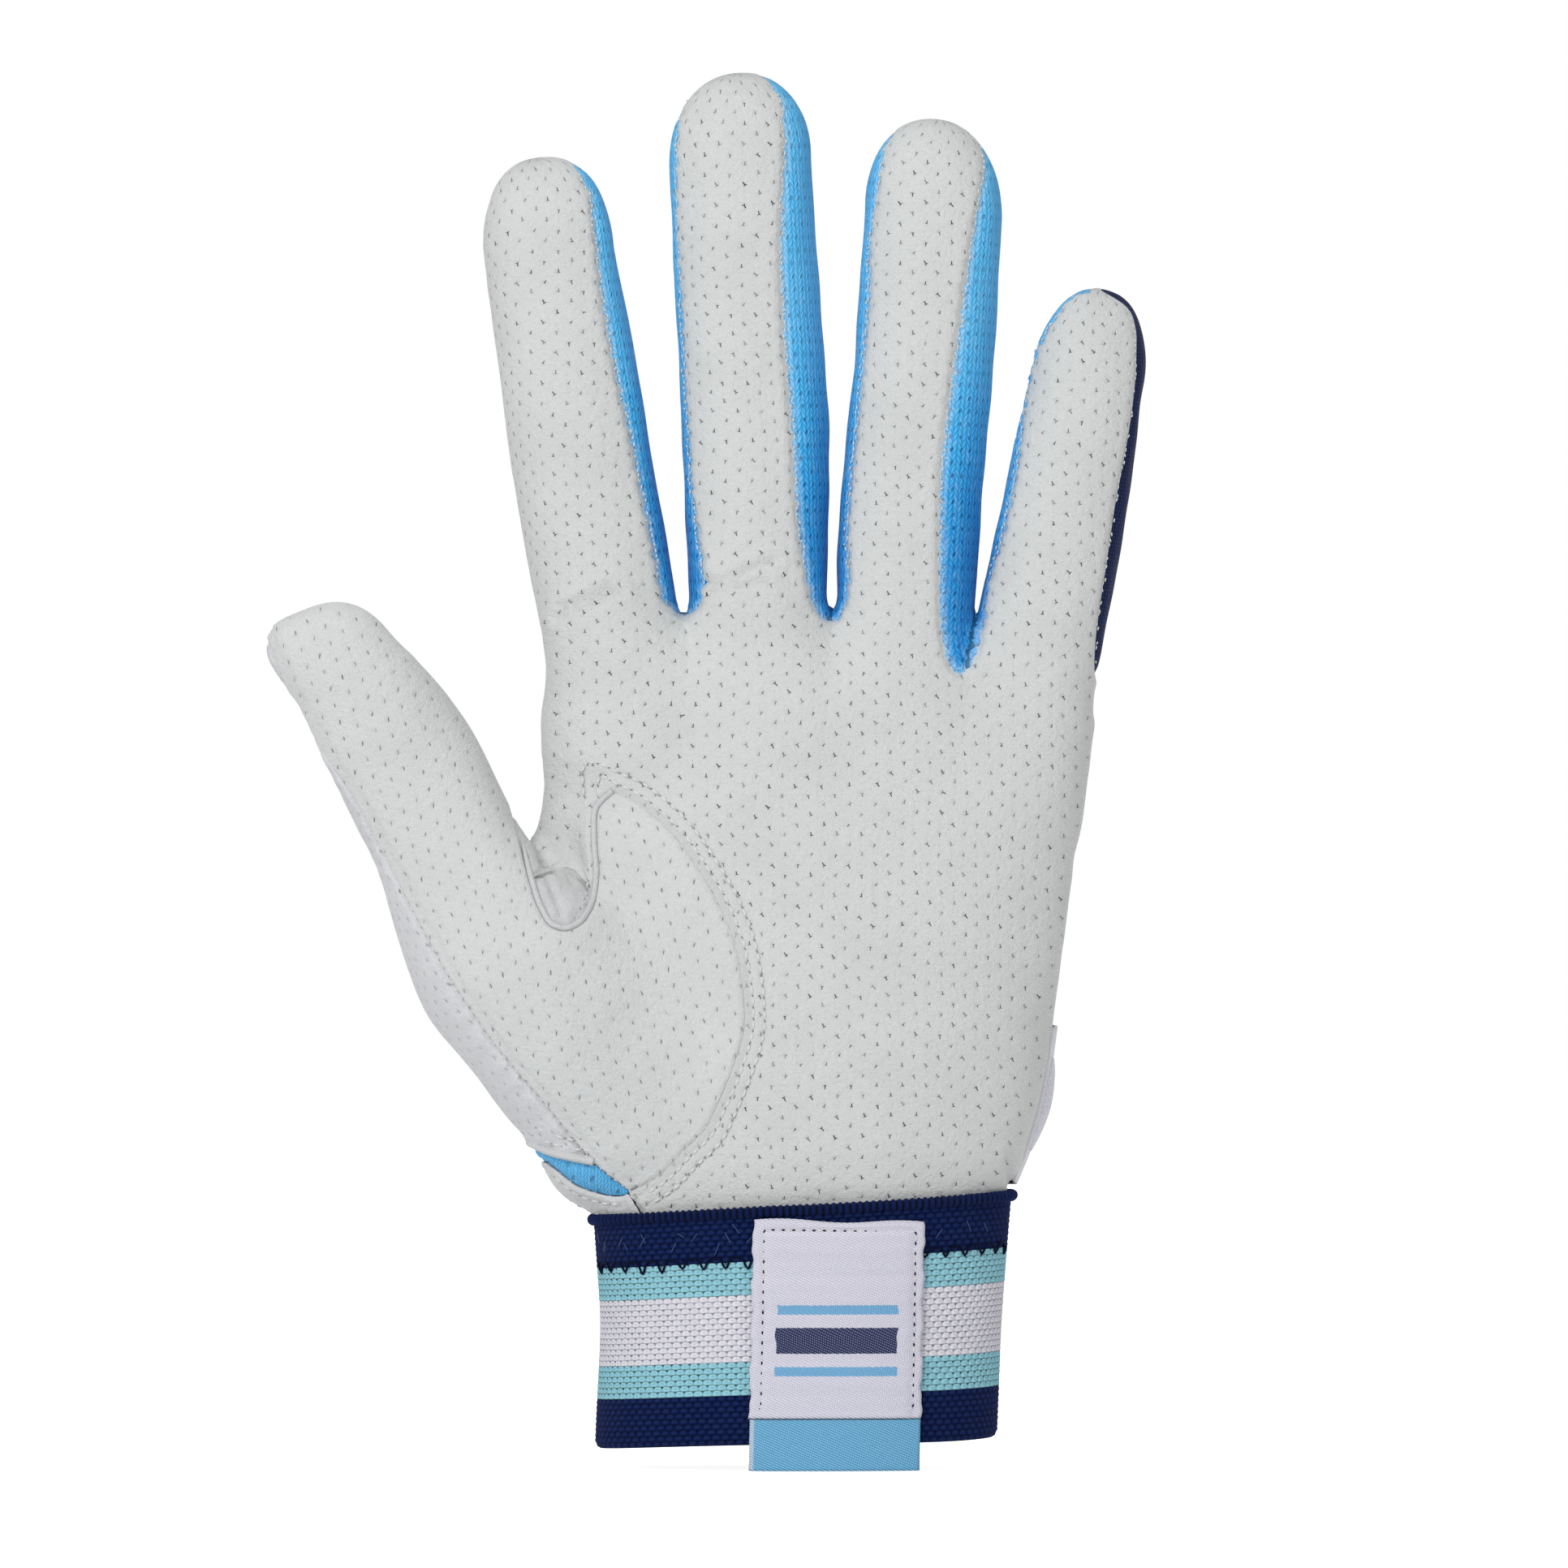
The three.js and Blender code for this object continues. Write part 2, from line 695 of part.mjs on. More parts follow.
// Closure strap with its hook patch and pull tab, and the loop patch it grips.
function addStrap() {
  const loopOut = layGap + patchWall;
  const hookIn = loopOut + layGap;
  const strapIn = hookIn + patchWall + layGap;
  const lay = (low, high, from, to, inner, thick) => (u, v, w) => {
    const level = THREE.MathUtils.lerp(low, high, v);
    const degrees = THREE.MathUtils.lerp(from, to, u);
    return handPoint(level, degrees, inner(degrees) + w * thick);
  };
  // The strap lies on the hand at both ends and rides over the patches between them.
  const ride = (degrees) => {
    const climb = strapHinge - patchTo - rideRamp;
    const sewn = THREE.MathUtils.smoothstep(strapHinge - degrees, rideRamp / 2, climb);
    const free = THREE.MathUtils.smoothstep(degrees, strapFree, patchFrom - rideRamp / 2);
    return THREE.MathUtils.lerp(layGap, strapIn, Math.min(sewn, free));
  };
  const strap = lay(strapLow, strapHigh, strapFree, strapHinge, ride, strapWall);
  addMesh(glove, "closure_strap", sheet(strap, 20, 3), colours.laminate);
  const low = strapLow + patchMargin;
  const high = strapHigh - patchMargin;
  const loop = lay(low, high, patchFrom, patchTo, () => layGap, patchWall);
  addMesh(glove, "loop_patch", sheet(loop, 8, 2), colours.loop);
  const hook = lay(low, high, patchFrom, patchTo, () => hookIn, patchWall);
  addMesh(glove, "hook_patch", sheet(hook, 8, 2), colours.loop);
  const onStrap = (degrees) => ride(degrees) + strapWall + layGap;
  const tab = lay(low + tabMargin, high - tabMargin, tabFrom, tabTo, onStrap, patchWall);
  addMesh(glove, "pull_tab", sheet(tab, 4, 2), colours.label);
}

addHand();
for (const finger of fingers) {
  addFinger(finger);
}
addThumb();
addCuff();
addStrap();

export default glove;
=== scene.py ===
"""Looks of a left-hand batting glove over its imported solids.

The glove stands palm forward with its fingers up and its wrist rim near z = 0.
Sizes are in millimetres here and become metres when a mesh is made.
"""

import logging
import math
from dataclasses import dataclass, field
from enum import Enum
from typing import Callable, Sequence

import bpy
import numpy as np
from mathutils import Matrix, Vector

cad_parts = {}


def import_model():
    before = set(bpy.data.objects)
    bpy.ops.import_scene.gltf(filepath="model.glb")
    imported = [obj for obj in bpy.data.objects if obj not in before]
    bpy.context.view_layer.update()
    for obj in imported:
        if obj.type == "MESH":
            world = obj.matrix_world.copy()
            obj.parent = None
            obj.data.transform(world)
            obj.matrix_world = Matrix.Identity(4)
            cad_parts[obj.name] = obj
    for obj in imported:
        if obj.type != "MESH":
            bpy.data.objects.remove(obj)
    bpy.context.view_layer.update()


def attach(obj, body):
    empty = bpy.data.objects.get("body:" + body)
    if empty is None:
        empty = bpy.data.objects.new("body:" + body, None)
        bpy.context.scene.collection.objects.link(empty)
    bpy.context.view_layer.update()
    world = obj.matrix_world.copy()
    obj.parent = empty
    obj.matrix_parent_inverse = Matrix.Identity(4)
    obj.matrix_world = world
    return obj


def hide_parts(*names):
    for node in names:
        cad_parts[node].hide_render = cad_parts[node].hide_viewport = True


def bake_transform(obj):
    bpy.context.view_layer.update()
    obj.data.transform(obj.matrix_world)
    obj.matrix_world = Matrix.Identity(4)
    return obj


LOG = logging.getLogger("batting_glove")
# Metres in a millimetre, and millimetres in one unit of a flat map.
MM = 0.001
MAP_MM = 100.0
Array = np.ndarray
Line = tuple[tuple[float, float], ...]


def ramp(value: Array, low: float, high: float) -> Array:
    """Smooth step from 0 at low to 1 at high."""
    t = np.clip((value - low) / (high - low), 0.0, 1.0)
    return t * t * (3.0 - 2.0 * t)


def soft_min(a: Array, b: Array, reach: Array | float) -> Array:
    """Lower of two distances, rounded where they are within reach of each other."""
    h = np.clip(reach - np.abs(a - b), 0.0, None) / reach
    return np.minimum(a, b) - h * h * reach / 4.0


def unit(vectors: Array) -> Array:
    """Vectors of length one."""
    return vectors / np.maximum(np.linalg.norm(vectors, axis=-1, keepdims=True), 1e-9)


def smooth_line(points: Sequence[tuple[float, ...]], step: float) -> Array:
    """Points along a smooth curve through the given ones.

    Args:
        points: Corner points, two or three numbers each.
        step: Spacing of the result.

    Returns:
        Evenly spaced points on a centripetal curve.
    """
    p = np.array(points, float)
    ends = np.vstack([2 * p[0] - p[1], p, 2 * p[-1] - p[-2]])
    out = []
    for a, b, c, d in zip(ends[:-3], ends[1:-2], ends[2:-1], ends[3:]):
        t = np.linspace(0.0, 1.0, 24, endpoint=False)[:, None]
        out.append(0.5 * (2 * b + (c - a) * t + (2 * a - 5 * b + 4 * c - d) * t**2
                          + (3 * b - a - 3 * c + d) * t**3))
    dense = np.vstack([*out, p[-1:]])
    return spaced(dense, step)


def spaced(points: Array, step: float) -> Array:
    """Points of a polyline at even spacing, ends kept.

    Args:
        points: The polyline.
        step: Spacing wanted.

    Returns:
        The points.
    """
    run = np.concatenate([[0.0], np.cumsum(np.linalg.norm(np.diff(points, axis=0), axis=1))])
    at = np.linspace(0.0, run[-1], max(2, int(round(run[-1] / step)) + 1))
    return np.stack([np.interp(at, run, points[:, i]) for i in range(points.shape[1])], axis=1)


def stretch_gap(start: Array, end: Array, x: Array, z: Array) -> Array:
    """Squared distance to a straight stretch.

    Args:
        start: One end in x and z.
        end: The other end.
        x: Places across.
        z: Places up.

    Returns:
        Squared distance of each place.
    """
    (ax, az), (dx, dz) = start, end - start
    t = np.clip(((x - ax) * dx + (z - az) * dz) / max(dx * dx + dz * dz, 1e-9), 0.0, 1.0)
    return (x - ax - t * dx) ** 2 + (z - az - t * dz) ** 2


def inside(outline: Array, x: Array, z: Array) -> Array:
    """Distance to a closed outline, positive within it.

    Args:
        outline: Corners in x and z.
        x: Places across.
        z: Places up.

    Returns:
        Signed distance of each place.
    """
    best = np.full(x.shape, 1e9)
    within = np.zeros(x.shape, bool)
    for start, end in zip(outline, np.roll(outline, -1, axis=0)):
        best = np.minimum(best, stretch_gap(start, end, x, z))
        (ax, az), (bx, bz) = start, end
        if az != bz:
            within ^= ((az > z) != (bz > z)) & (x < (z - az) / (bz - az) * (bx - ax) + ax)
    return np.where(within, 1.0, -1.0) * np.sqrt(best)


def from_line(line: Array, x: Array, z: Array) -> Array:
    """Distance to an open line in x and z.

    Args:
        line: Points of the line.
        x: Places across.
        z: Places up.

    Returns:
        Distance of each place.
    """
    best = np.full(x.shape, 1e9)
    for start, end in zip(line[:-1], line[1:]):
        best = np.minimum(best, stretch_gap(start, end, x, z))
    return np.sqrt(best)


class RowTable:
    """Sizes along an axis, read smoothly between given rows."""

    def __init__(self, rows: Sequence[Sequence[float]], spread: float) -> None:
        """Lays the rows out finely and softens their corners over spread.

        Args:
            rows: Place along the axis, then the sizes there.
            spread: Reach of the softening.
        """
        table = np.array(rows, float)
        step = 0.5
        pad = 4 * spread
        self.at = np.arange(table[0, 0] - pad, table[-1, 0] + pad + step, step)
        reach = np.arange(-3 * spread, 3 * spread + step, step)
        kernel = np.exp(-0.5 * (reach / spread) ** 2)
        kernel /= kernel.sum()
        half = len(kernel) // 2
        self.columns = []
        for i in range(1, table.shape[1]):
            column = np.interp(self.at, table[:, 0], table[:, i])
            padded = np.pad(column, half, mode="edge")
            self.columns.append(np.convolve(padded, kernel, mode="valid")[: len(self.at)])

    def read(self, place: Array) -> list[Array]:
        """Every column's size at each place."""
        return [np.interp(place, self.at, column) for column in self.columns]


@dataclass
class Digit:
    """One finger or the thumb: a rounded tube with a skewed end."""

    name: str
    root: tuple[float, float]
    lean: float
    knuckle: float
    crown: float
    tip: float
    shift: float
    rows: tuple[tuple[float, ...], ...]
    spread: float = 5.0
    foot: float = -24.0
    power: float = 2.3
    flex_start: float = -2.0
    flex_end: float = 8.0
    dome: float = 2.15
    tilt: float = 0.0
    table: RowTable = field(init=False)

    def __post_init__(self) -> None:
        """Reads the rows into a table."""
        self.table = RowTable(self.rows, self.spread)

    @property
    def axis(self) -> tuple[float, float]:
        """Direction of the digit in x and z."""
        turn = math.radians(self.lean)
        return -math.sin(turn), math.cos(turn)

    def local(self, x: Array, z: Array) -> tuple[Array, Array]:
        """Distance across and along the digit of places in x and z.

        Args:
            x: Places across the glove.
            z: Places up.

        Returns:
            Distances across and along.
        """
        ax, az = self.axis
        dx, dz = x - self.root[0], z - self.root[1]
        return dx * az - dz * ax, dx * ax + dz * az

    def place(self, across: float, along: float) -> tuple[float, float]:
        """Place in x and z of a point given across and along the digit."""
        ax, az = self.axis
        return self.root[0] + across * az + along * ax, self.root[1] - across * ax + along * az

    def wrap(self, x: Array, y: Array, z: Array) -> tuple[Array, Array, Array, Array]:
        """Where places lie round the digit.

        Args:
            x: Places across the glove.
            y: Places in depth.
            z: Places up.

        Returns:
            Distance across, distance along, half-width there and angle from the front.
        """
        across, along = self.local(x, z)
        radial, ulnar, front, back, middle = self.table.read(along)
        size = np.where(across < 0, radial, ulnar)
        turn = np.arctan2(across / size, -(y - middle) / np.where(y < middle, front, back))
        return across, along, size, turn

    def centre_depth(self, along: Array) -> Array:
        """Depth of the digit's middle along it."""
        return self.table.read(along)[4]

    def distance(self, p: Array) -> Array:
        """Distance to the digit's surface, negative within.

        Args:
            p: Places.

        Returns:
            Signed distance of each.
        """
        across, along = self.local(p[:, 0], p[:, 2])
        radial, ulnar, front, back, middle = self.table.read(along)
        shoulder = self.tilt * (np.sqrt(across**2 + 9.0) - across - 3.0) / 2
        rise = np.clip((along - shoulder - self.crown) / (self.tip - self.crown), 0.0, None)
        sink = np.clip((self.foot - along) / 8.0, 0.0, None)
        x = across - self.shift * np.minimum(rise, 1.0)
        y = p[:, 1] - middle
        a = np.where(x < 0, radial, ulnar)
        b = np.where(y < 0, front, back)
        return tube_distance(x, y, a, b, self.power, rise, self.tip - self.crown, sink, self.dome)


def tube_distance(x: Array, y: Array, a: Array, b: Array, power: float,
                  rise: Array, length: Array | float, sink: Array | float = 0.0, dome: float = 2.0) -> Array:
    """Distance to a rounded tube with domed ends.

    Args:
        x: Place across.
        y: Place in depth.
        a: Half-width there.
        b: Half-depth there.
        power: Squareness of the section, 2 for an ellipse.
        rise: Share of the way up the upper dome, 0 below it.
        length: Height of the upper dome.
        sink: Share of the way down the lower dome.
        dome: Squareness of the domes, 2 for round.

    Returns:
        Signed distance, exact near the surface.
    """
    px, py = np.abs(x) / a, np.abs(y) / b
    wide = np.maximum(px**power + py**power, 1e-6) ** (1.0 / power)
    cap = np.maximum(np.sqrt(rise**2 + sink**2), 1e-6)
    size = (wide**dome + cap**dome) ** (1.0 / dome)
    slope_x = px ** (power - 1.0) / a * wide ** (1.0 - power)
    slope_y = py ** (power - 1.0) / b * wide ** (1.0 - power)
    turn = wide ** (2 * dome - 2) * (slope_x**2 + slope_y**2) + cap ** (2 * dome - 2) / length**2
    slope = np.sqrt(turn) / np.maximum(size, 1e-6) ** (dome - 1.0)
    return (size - 1.0) / np.maximum(slope, 0.015)


@dataclass
class Palm:
    """The hand between the wrist and the finger roots."""

    rows: tuple[tuple[float, ...], ...]
    crest: Line
    top: float
    power: float = 2.35
    spread: float = 2.0
    table: RowTable = field(init=False)

    def __post_init__(self) -> None:
        """Reads the rows into a table."""
        self.table = RowTable(self.rows, self.spread)

    def distance(self, p: Array) -> Array:
        """Distance to the palm's surface, negative within.

        Args:
            p: Places.

        Returns:
            Signed distance of each.
        """
        x, y, z = p[:, 0], p[:, 1], p[:, 2]
        radial, ulnar, front, back = self.table.read(z)
        crest = np.array(self.crest)
        height = np.interp(x, crest[:, 0], crest[:, 1]) - self.top
        rise = np.clip((z - self.top) / height, 0.0, None)
        a = np.where(x < 0, radial, ulnar)
        b = np.where(y < 0, front, back)
        return tube_distance(x, y, a, b, self.power, rise, height)


def finger_rows(*rows: tuple[float, float, float, float]) -> tuple[tuple[float, ...], ...]:
    """Rows of a finger, as deep in front as behind and with its middle at depth 0.

    Args:
        rows: Place along it, half-width towards the thumb, half-width away from it and half-depth.

    Returns:
        The rows as a digit takes them.
    """
    return tuple((along, radial, ulnar, deep, deep, 0.0) for along, radial, ulnar, deep in rows)


INDEX = Digit("index", root=(-31.3, 137.8), lean=9.5, knuckle=28.0, crown=57.0, tip=73.0, shift=1.6, tilt=0.3,
              rows=finger_rows((-24, 11.9, 11.2, 9.8), (-12, 11.5, 11.3, 9.8), (-5, 10.8, 11.35, 9.8),
                               (3.6, 11.3, 11.4, 9.8), (20, 11.4, 11.2, 9.5), (39, 10.9, 11.4, 9.2),
                               (54, 10.3, 10.9, 8.9), (62, 9.9, 10.6, 8.6)))
MIDDLE = Digit("middle", root=(-6.3, 139.1), lean=2.75, knuckle=32.0, crown=70.0, tip=84.6, shift=0.7,
               rows=finger_rows((-24, 11.3, 10.9, 10), (0, 11.5, 11.0, 10), (8, 11.4, 11.5, 9.9),
                                (24, 11.3, 12.8, 9.7), (40, 11.2, 12.4, 9.5), (56, 11.3, 12.1, 9.2),
                                (72, 11.3, 11.7, 8.9)))
RING = Digit("ring", root=(17.3, 137.2), lean=-4.3, knuckle=29.0, crown=64.0, tip=79.0, shift=-0.9,
             rows=finger_rows((-24, 10.8, 11.2, 9.8), (0, 10.9, 11.6, 9.8), (8, 11.5, 11.5, 9.7),
                              (22, 11.5, 11.4, 9.5), (38, 10.9, 11.7, 9.2), (54, 11.1, 11.5, 8.9),
                              (66, 11.1, 11.1, 8.7)))
LITTLE = Digit("little", root=(39.1, 128.6), lean=-10.0, knuckle=22.0, crown=46.0, tip=60.8, shift=0.2,
               rows=finger_rows((-24, 10.2, 9.6, 9), (0, 11.0, 9.9, 9), (8, 10.8, 10.1, 8.9),
                                (13, 10.5, 10.4, 8.8), (29, 9.9, 10.2, 8.5), (40, 9.5, 9.6, 8.2),
                                (49, 9.1, 9.2, 7.9)))
THUMB = Digit("thumb", root=(-57.2, 102.0), lean=30.7, knuckle=19.5, crown=26.0, tip=40.2, shift=-3.0, rows=(
    (-60, 14.6, 16, 14, 13, -1), (-50, 15.6, 19, 16.5, 12.5, -2), (-38, 17.2, 19, 18, 12, -3),
    (-27, 18.6, 17, 17.5, 11.5, -4), (-18, 17.9, 12.8, 15.5, 11, -4.5), (-13, 16.5, 9.7, 14.1, 10.7, -4.8),
    (-7.4, 15, 9.1, 12.6, 10.4, -5), (0, 13.2, 9.7, 11.2, 10, -5.5), (10.4, 12.5, 10.7, 10.2, 9.4, -7),
    (20, 11.9, 9.7, 9.7, 9.1, -8.2), (28.5, 10.6, 7.6, 9.1, 8.7, -9.3), (35, 10.3, 9.2, 9, 8.6, -9.6)),
    spread=3.0, foot=-58.0, flex_end=7.0, dome=2.9, tilt=0.2)
FINGERS = (INDEX, MIDDLE, RING, LITTLE)
DIGITS = (*FINGERS, THUMB)
PALM = Palm(rows=(
    (24, 30.0, 30.6, 16.6, 16.6), (36.5, 30.9, 31.8, 17.0, 16.9), (38, 33.4, 31.9, 17.3, 17.0),
    (40, 35.0, 33.3, 17.6, 17.1),
    (42, 35.9, 34.3, 18.0, 17.0), (48, 37.0, 36.9, 18.6, 16.4), (55, 37.6, 39.1, 18.6, 15.9),
    (62, 38.0, 40.4, 18.6, 15.4), (80, 39.5, 42.8, 17.0, 14.2), (94, 45.2, 44.6, 14.9, 13.1),
    (98, 43.5, 45.2, 14.3, 12.8), (104, 41.6, 45.9, 13.4, 12.3), (108, 41.5, 46.3, 12.9, 12.0),
    (116, 40.85, 46.9, 11.8, 11.4)),
    crest=((-42, 137.0), (-30, 136.0), (-18.2, 135.9), (5.1, 134.2), (16, 133.0), (28.5, 136.0),
           (40, 128.0), (49, 127.0)), top=116.0)


@dataclass
class Skin:
    """Triangles on the glove's form, with normals and named values at their corners."""

    co: Array
    no: Array
    tri: Array
    val: dict[str, Array]

    def used(self) -> "Skin":
        """The same triangles without the points that none of them uses.

        Returns:
            The smaller skin.
        """
        keep, index = np.unique(self.tri.ravel(), return_inverse=True)
        values = {k: v[keep] for k, v in self.val.items()}
        return Skin(self.co[keep], self.no[keep], index.reshape(-1, 3), values)

    def near(self, name: str, margin: float) -> "Skin":
        """Triangles that come within margin of the part where a value is above zero."""
        high = self.val[name] > -margin
        return Skin(self.co, self.no, self.tri[high[self.tri].any(axis=1)], self.val).used()

    def cut(self, name: str, level: float = 0.0, both: bool = False) -> "Skin":
        """Cuts the triangles along a level of a value.

        Args:
            name: The value to cut by.
            level: Where the cut runs.
            both: Keeps the triangles below the level too.

        Returns:
            The triangles above the level, or all of them with the cut's edges added.
        """
        g = self.val[name] - level
        g = np.where(np.abs(g) < 1e-3, 1e-3, g)
        up = g > 0
        count = up[self.tri].sum(axis=1)
        mixed = self.tri[(count == 1) | (count == 2)]
        whole = self.tri[count == 3]
        rest = self.tri[count == 0]
        if not len(mixed):
            return Skin(self.co, self.no, np.vstack([whole, rest]) if both else whole, self.val).used()
        high = up[mixed]
        lone = np.where(high.sum(axis=1) == 1, high.argmax(axis=1), (~high).argmax(axis=1))
        rows = np.arange(len(mixed))
        i, j, k = mixed[rows, lone], mixed[rows, (lone + 1) % 3], mixed[rows, (lone + 2) % 3]
        ends = np.vstack([np.stack([i, j], 1), np.stack([i, k], 1)])
        low, top = ends.min(axis=1).astype(np.int64), ends.max(axis=1).astype(np.int64)
        _, first, place = np.unique(low * len(g) + top, return_index=True, return_inverse=True)
        a, b = low[first], top[first]
        t = (g[a] / (g[a] - g[b]))[:, None]
        co = np.vstack([self.co, self.co[a] + t * (self.co[b] - self.co[a])])
        no = np.vstack([self.no, unit(self.no[a] + t * (self.no[b] - self.no[a]))])
        t = t[:, 0]
        values = {n: np.concatenate([v, v[a] + t * (v[b] - v[a])]) for n, v in self.val.items()}
        place = place.reshape(-1) + len(g)
        p, q = place[: len(mixed)], place[len(mixed):]
        single, double = np.stack([i, p, q], 1), np.vstack([np.stack([p, j, k], 1), np.stack([p, k, q], 1)])
        alone = up[i]
        parts = [whole, single[alone], double[np.tile(~alone, 2)]]
        if both:
            parts += [rest, single[~alone], double[np.tile(alone, 2)]]
        return Skin(co, no, np.vstack(parts), values).used()

    def slope(self, value: Array) -> Array:
        """Gradient of a value along the surface at every point.

        Args:
            value: The value at every point.

        Returns:
            The gradients.
        """
        p = self.co[self.tri]
        normal = np.cross(p[:, 1] - p[:, 0], p[:, 2] - p[:, 0])
        area = np.linalg.norm(normal, axis=1)
        n = normal / np.maximum(area, 1e-12)[:, None]
        f = value[self.tri]
        total = (f[:, 0:1] * np.cross(n, p[:, 2] - p[:, 1]) + f[:, 1:2] * np.cross(n, p[:, 0] - p[:, 2])
                 + f[:, 2:3] * np.cross(n, p[:, 1] - p[:, 0]))
        out = np.zeros_like(self.co)
        weight = np.bincount(self.tri.ravel(), np.repeat(area, 3), len(self.co))
        for axis in range(3):
            out[:, axis] = np.bincount(self.tri.ravel(), np.repeat(total[:, axis], 3), len(self.co))
        return out / np.maximum(weight, 1e-12)[:, None]


class HandForm:
    """The smooth outside of the filled glove."""

    step = 0.8
    coarse = 4
    low = np.array([-92.0, -28.0, 27.0])
    high = np.array([60.0, 22.4, 230.0])

    def distance(self, p: Array) -> Array:
        """Distance to the glove's outside, negative within.

        Args:
            p: Places.

        Returns:
            Signed distance of each.
        """
        fingers = np.full(len(p), 20.0)
        for digit in FINGERS:
            across, along = digit.local(p[:, 0], p[:, 2])
            close = (np.abs(across) < 22.0) & (along > digit.foot - 12.0)
            fingers[close] = soft_min(fingers[close], digit.distance(p[close]), 0.7)
        total = np.full(len(p), 20.0)
        close = p[:, 2] < 145.0
        total[close] = PALM.distance(p[close])
        total = soft_min(total, fingers, 5.0)
        across, along = THUMB.local(p[:, 0], p[:, 2])
        close = (np.abs(across) < 32.0) & (along > THUMB.foot - 10.0)
        reach = 0.6 + 6.0 * ramp(-along[close], 12.0, 30.0)
        total[close] = soft_min(total[close], THUMB.distance(p[close]), reach)
        return total

    def slope(self, p: Array) -> Array:
        """Outward normal of the form at places near it.

        Args:
            p: Places.

        Returns:
            The distance's gradient there.
        """
        step = 0.04
        parts = []
        for axis in range(3):
            move = np.zeros(3)
            move[axis] = step
            parts.append(self.distance(p + move) - self.distance(p - move))
        return np.stack(parts, axis=1) / (2 * step)

    def settle(self, p: Array, rounds: int = 3) -> Array:
        """Moves places near the form onto it.

        Args:
            p: Places.
            rounds: Steps taken.

        Returns:
            The moved places.
        """
        for _ in range(rounds):
            slope = self.slope(p)
            size = np.maximum((slope**2).sum(axis=1), 0.05)
            p = p - np.clip(self.distance(p) / size, -0.6, 0.6)[:, None] * slope
        return p

    def values(self) -> tuple[Array, Array]:
        """Distances on a fine grid, worked out only near the surface.

        Returns:
            The grid of distances and its lowest corner.
        """
        wide = self.step * self.coarse
        count = np.ceil((self.high - self.low) / wide).astype(int)
        axes = [self.low[i] + wide * (np.arange(count[i]) + 0.5) for i in range(3)]
        cells = np.stack(np.meshgrid(*axes, indexing="ij"), axis=-1).reshape(-1, 3)
        rough = self.distance(cells).reshape(count)
        fine = np.repeat(np.repeat(np.repeat(rough, self.coarse, 0), self.coarse, 1), self.coarse, 2)
        at = np.argwhere(np.abs(fine) < 1.15 * wide)
        fine[tuple(at.T)] = self.distance(self.low + self.step * (at + 0.5))
        return fine, self.low + self.step * 0.5

    def skin(self) -> Skin:
        """Triangles over the whole outside.

        Returns:
            The skin, with no values yet.
        """
        value, origin = self.values()
        points, quads = surface_net(value)
        co = self.settle(origin + self.step * points)
        a, b = quads[:, [0, 1, 2]], quads[:, [0, 2, 3]]
        c, d = quads[:, [0, 1, 3]], quads[:, [1, 2, 3]]
        first = np.linalg.norm(co[quads[:, 0]] - co[quads[:, 2]], axis=1)
        second = np.linalg.norm(co[quads[:, 1]] - co[quads[:, 3]], axis=1)
        short = first <= second
        tri = np.vstack([a[short], b[short], c[~short], d[~short]])
        return Skin(co, unit(self.slope(co)), tri, {})

    def front(self, x: Array, z: Array) -> Array:
        """Points of the form seen from the palm side at places in x and z.

        Args:
            x: Places across.
            z: Places up.

        Returns:
            Points with their depth.
        """
        y = np.full(x.shape, -30.0)
        for _ in range(70):
            gap = self.distance(np.stack([x, y, z], axis=1))
            y = y + np.clip(gap, -0.5, 2.0) * 0.7
            y = np.minimum(y, 12.0)
        return np.stack([x, y, z], axis=1)


def surface_net(value: Array) -> tuple[Array, Array]:
    """Quads between the grid cells that a zero surface crosses.

    Args:
        value: Distances on a grid, negative within.

    Returns:
        Points in grid steps and the quads between them, facing outwards.
    """
    within = value < 0
    shape = np.array(value.shape) - 1
    owners, crossings, faces = [], [], []
    for axis in range(3):
        low, high = [slice(None)] * 3, [slice(None)] * 3
        low[axis], high[axis] = slice(0, -1), slice(1, None)
        at = np.argwhere(within[tuple(low)] != within[tuple(high)])
        b, c = (axis + 1) % 3, (axis + 2) % 3
        fits = (at[:, b] > 0) & (at[:, c] > 0) & (at[:, b] < shape[b]) & (at[:, c] < shape[c])
        at = at[fits]
        after = at.copy()
        after[:, axis] += 1
        v0, v1 = value[tuple(at.T)], value[tuple(after.T)]
        point = at.astype(float)
        point[:, axis] += v0 / (v0 - v1)
        cells = []
        for db, dc in ((-1, -1), (0, -1), (0, 0), (-1, 0)):
            cell = at.copy()
            cell[:, b] += db
            cell[:, c] += dc
            cells.append((cell[:, 0] * shape[1] + cell[:, 1]) * shape[2] + cell[:, 2])
        quad = np.stack(cells, axis=1)
        quad = np.where((v0 < 0)[:, None], quad, quad[:, ::-1])
        owners.append(quad.ravel())
        crossings.append(np.repeat(point, 4, axis=0))
        faces.append(quad)
    names, index = np.unique(np.concatenate(owners), return_inverse=True)
    index = index.reshape(-1)
    count = np.bincount(index)
    every = np.vstack(crossings)
    points = np.stack([np.bincount(index, every[:, i]) / count for i in range(3)], axis=1)
    return points, np.searchsorted(names, np.vstack(faces))


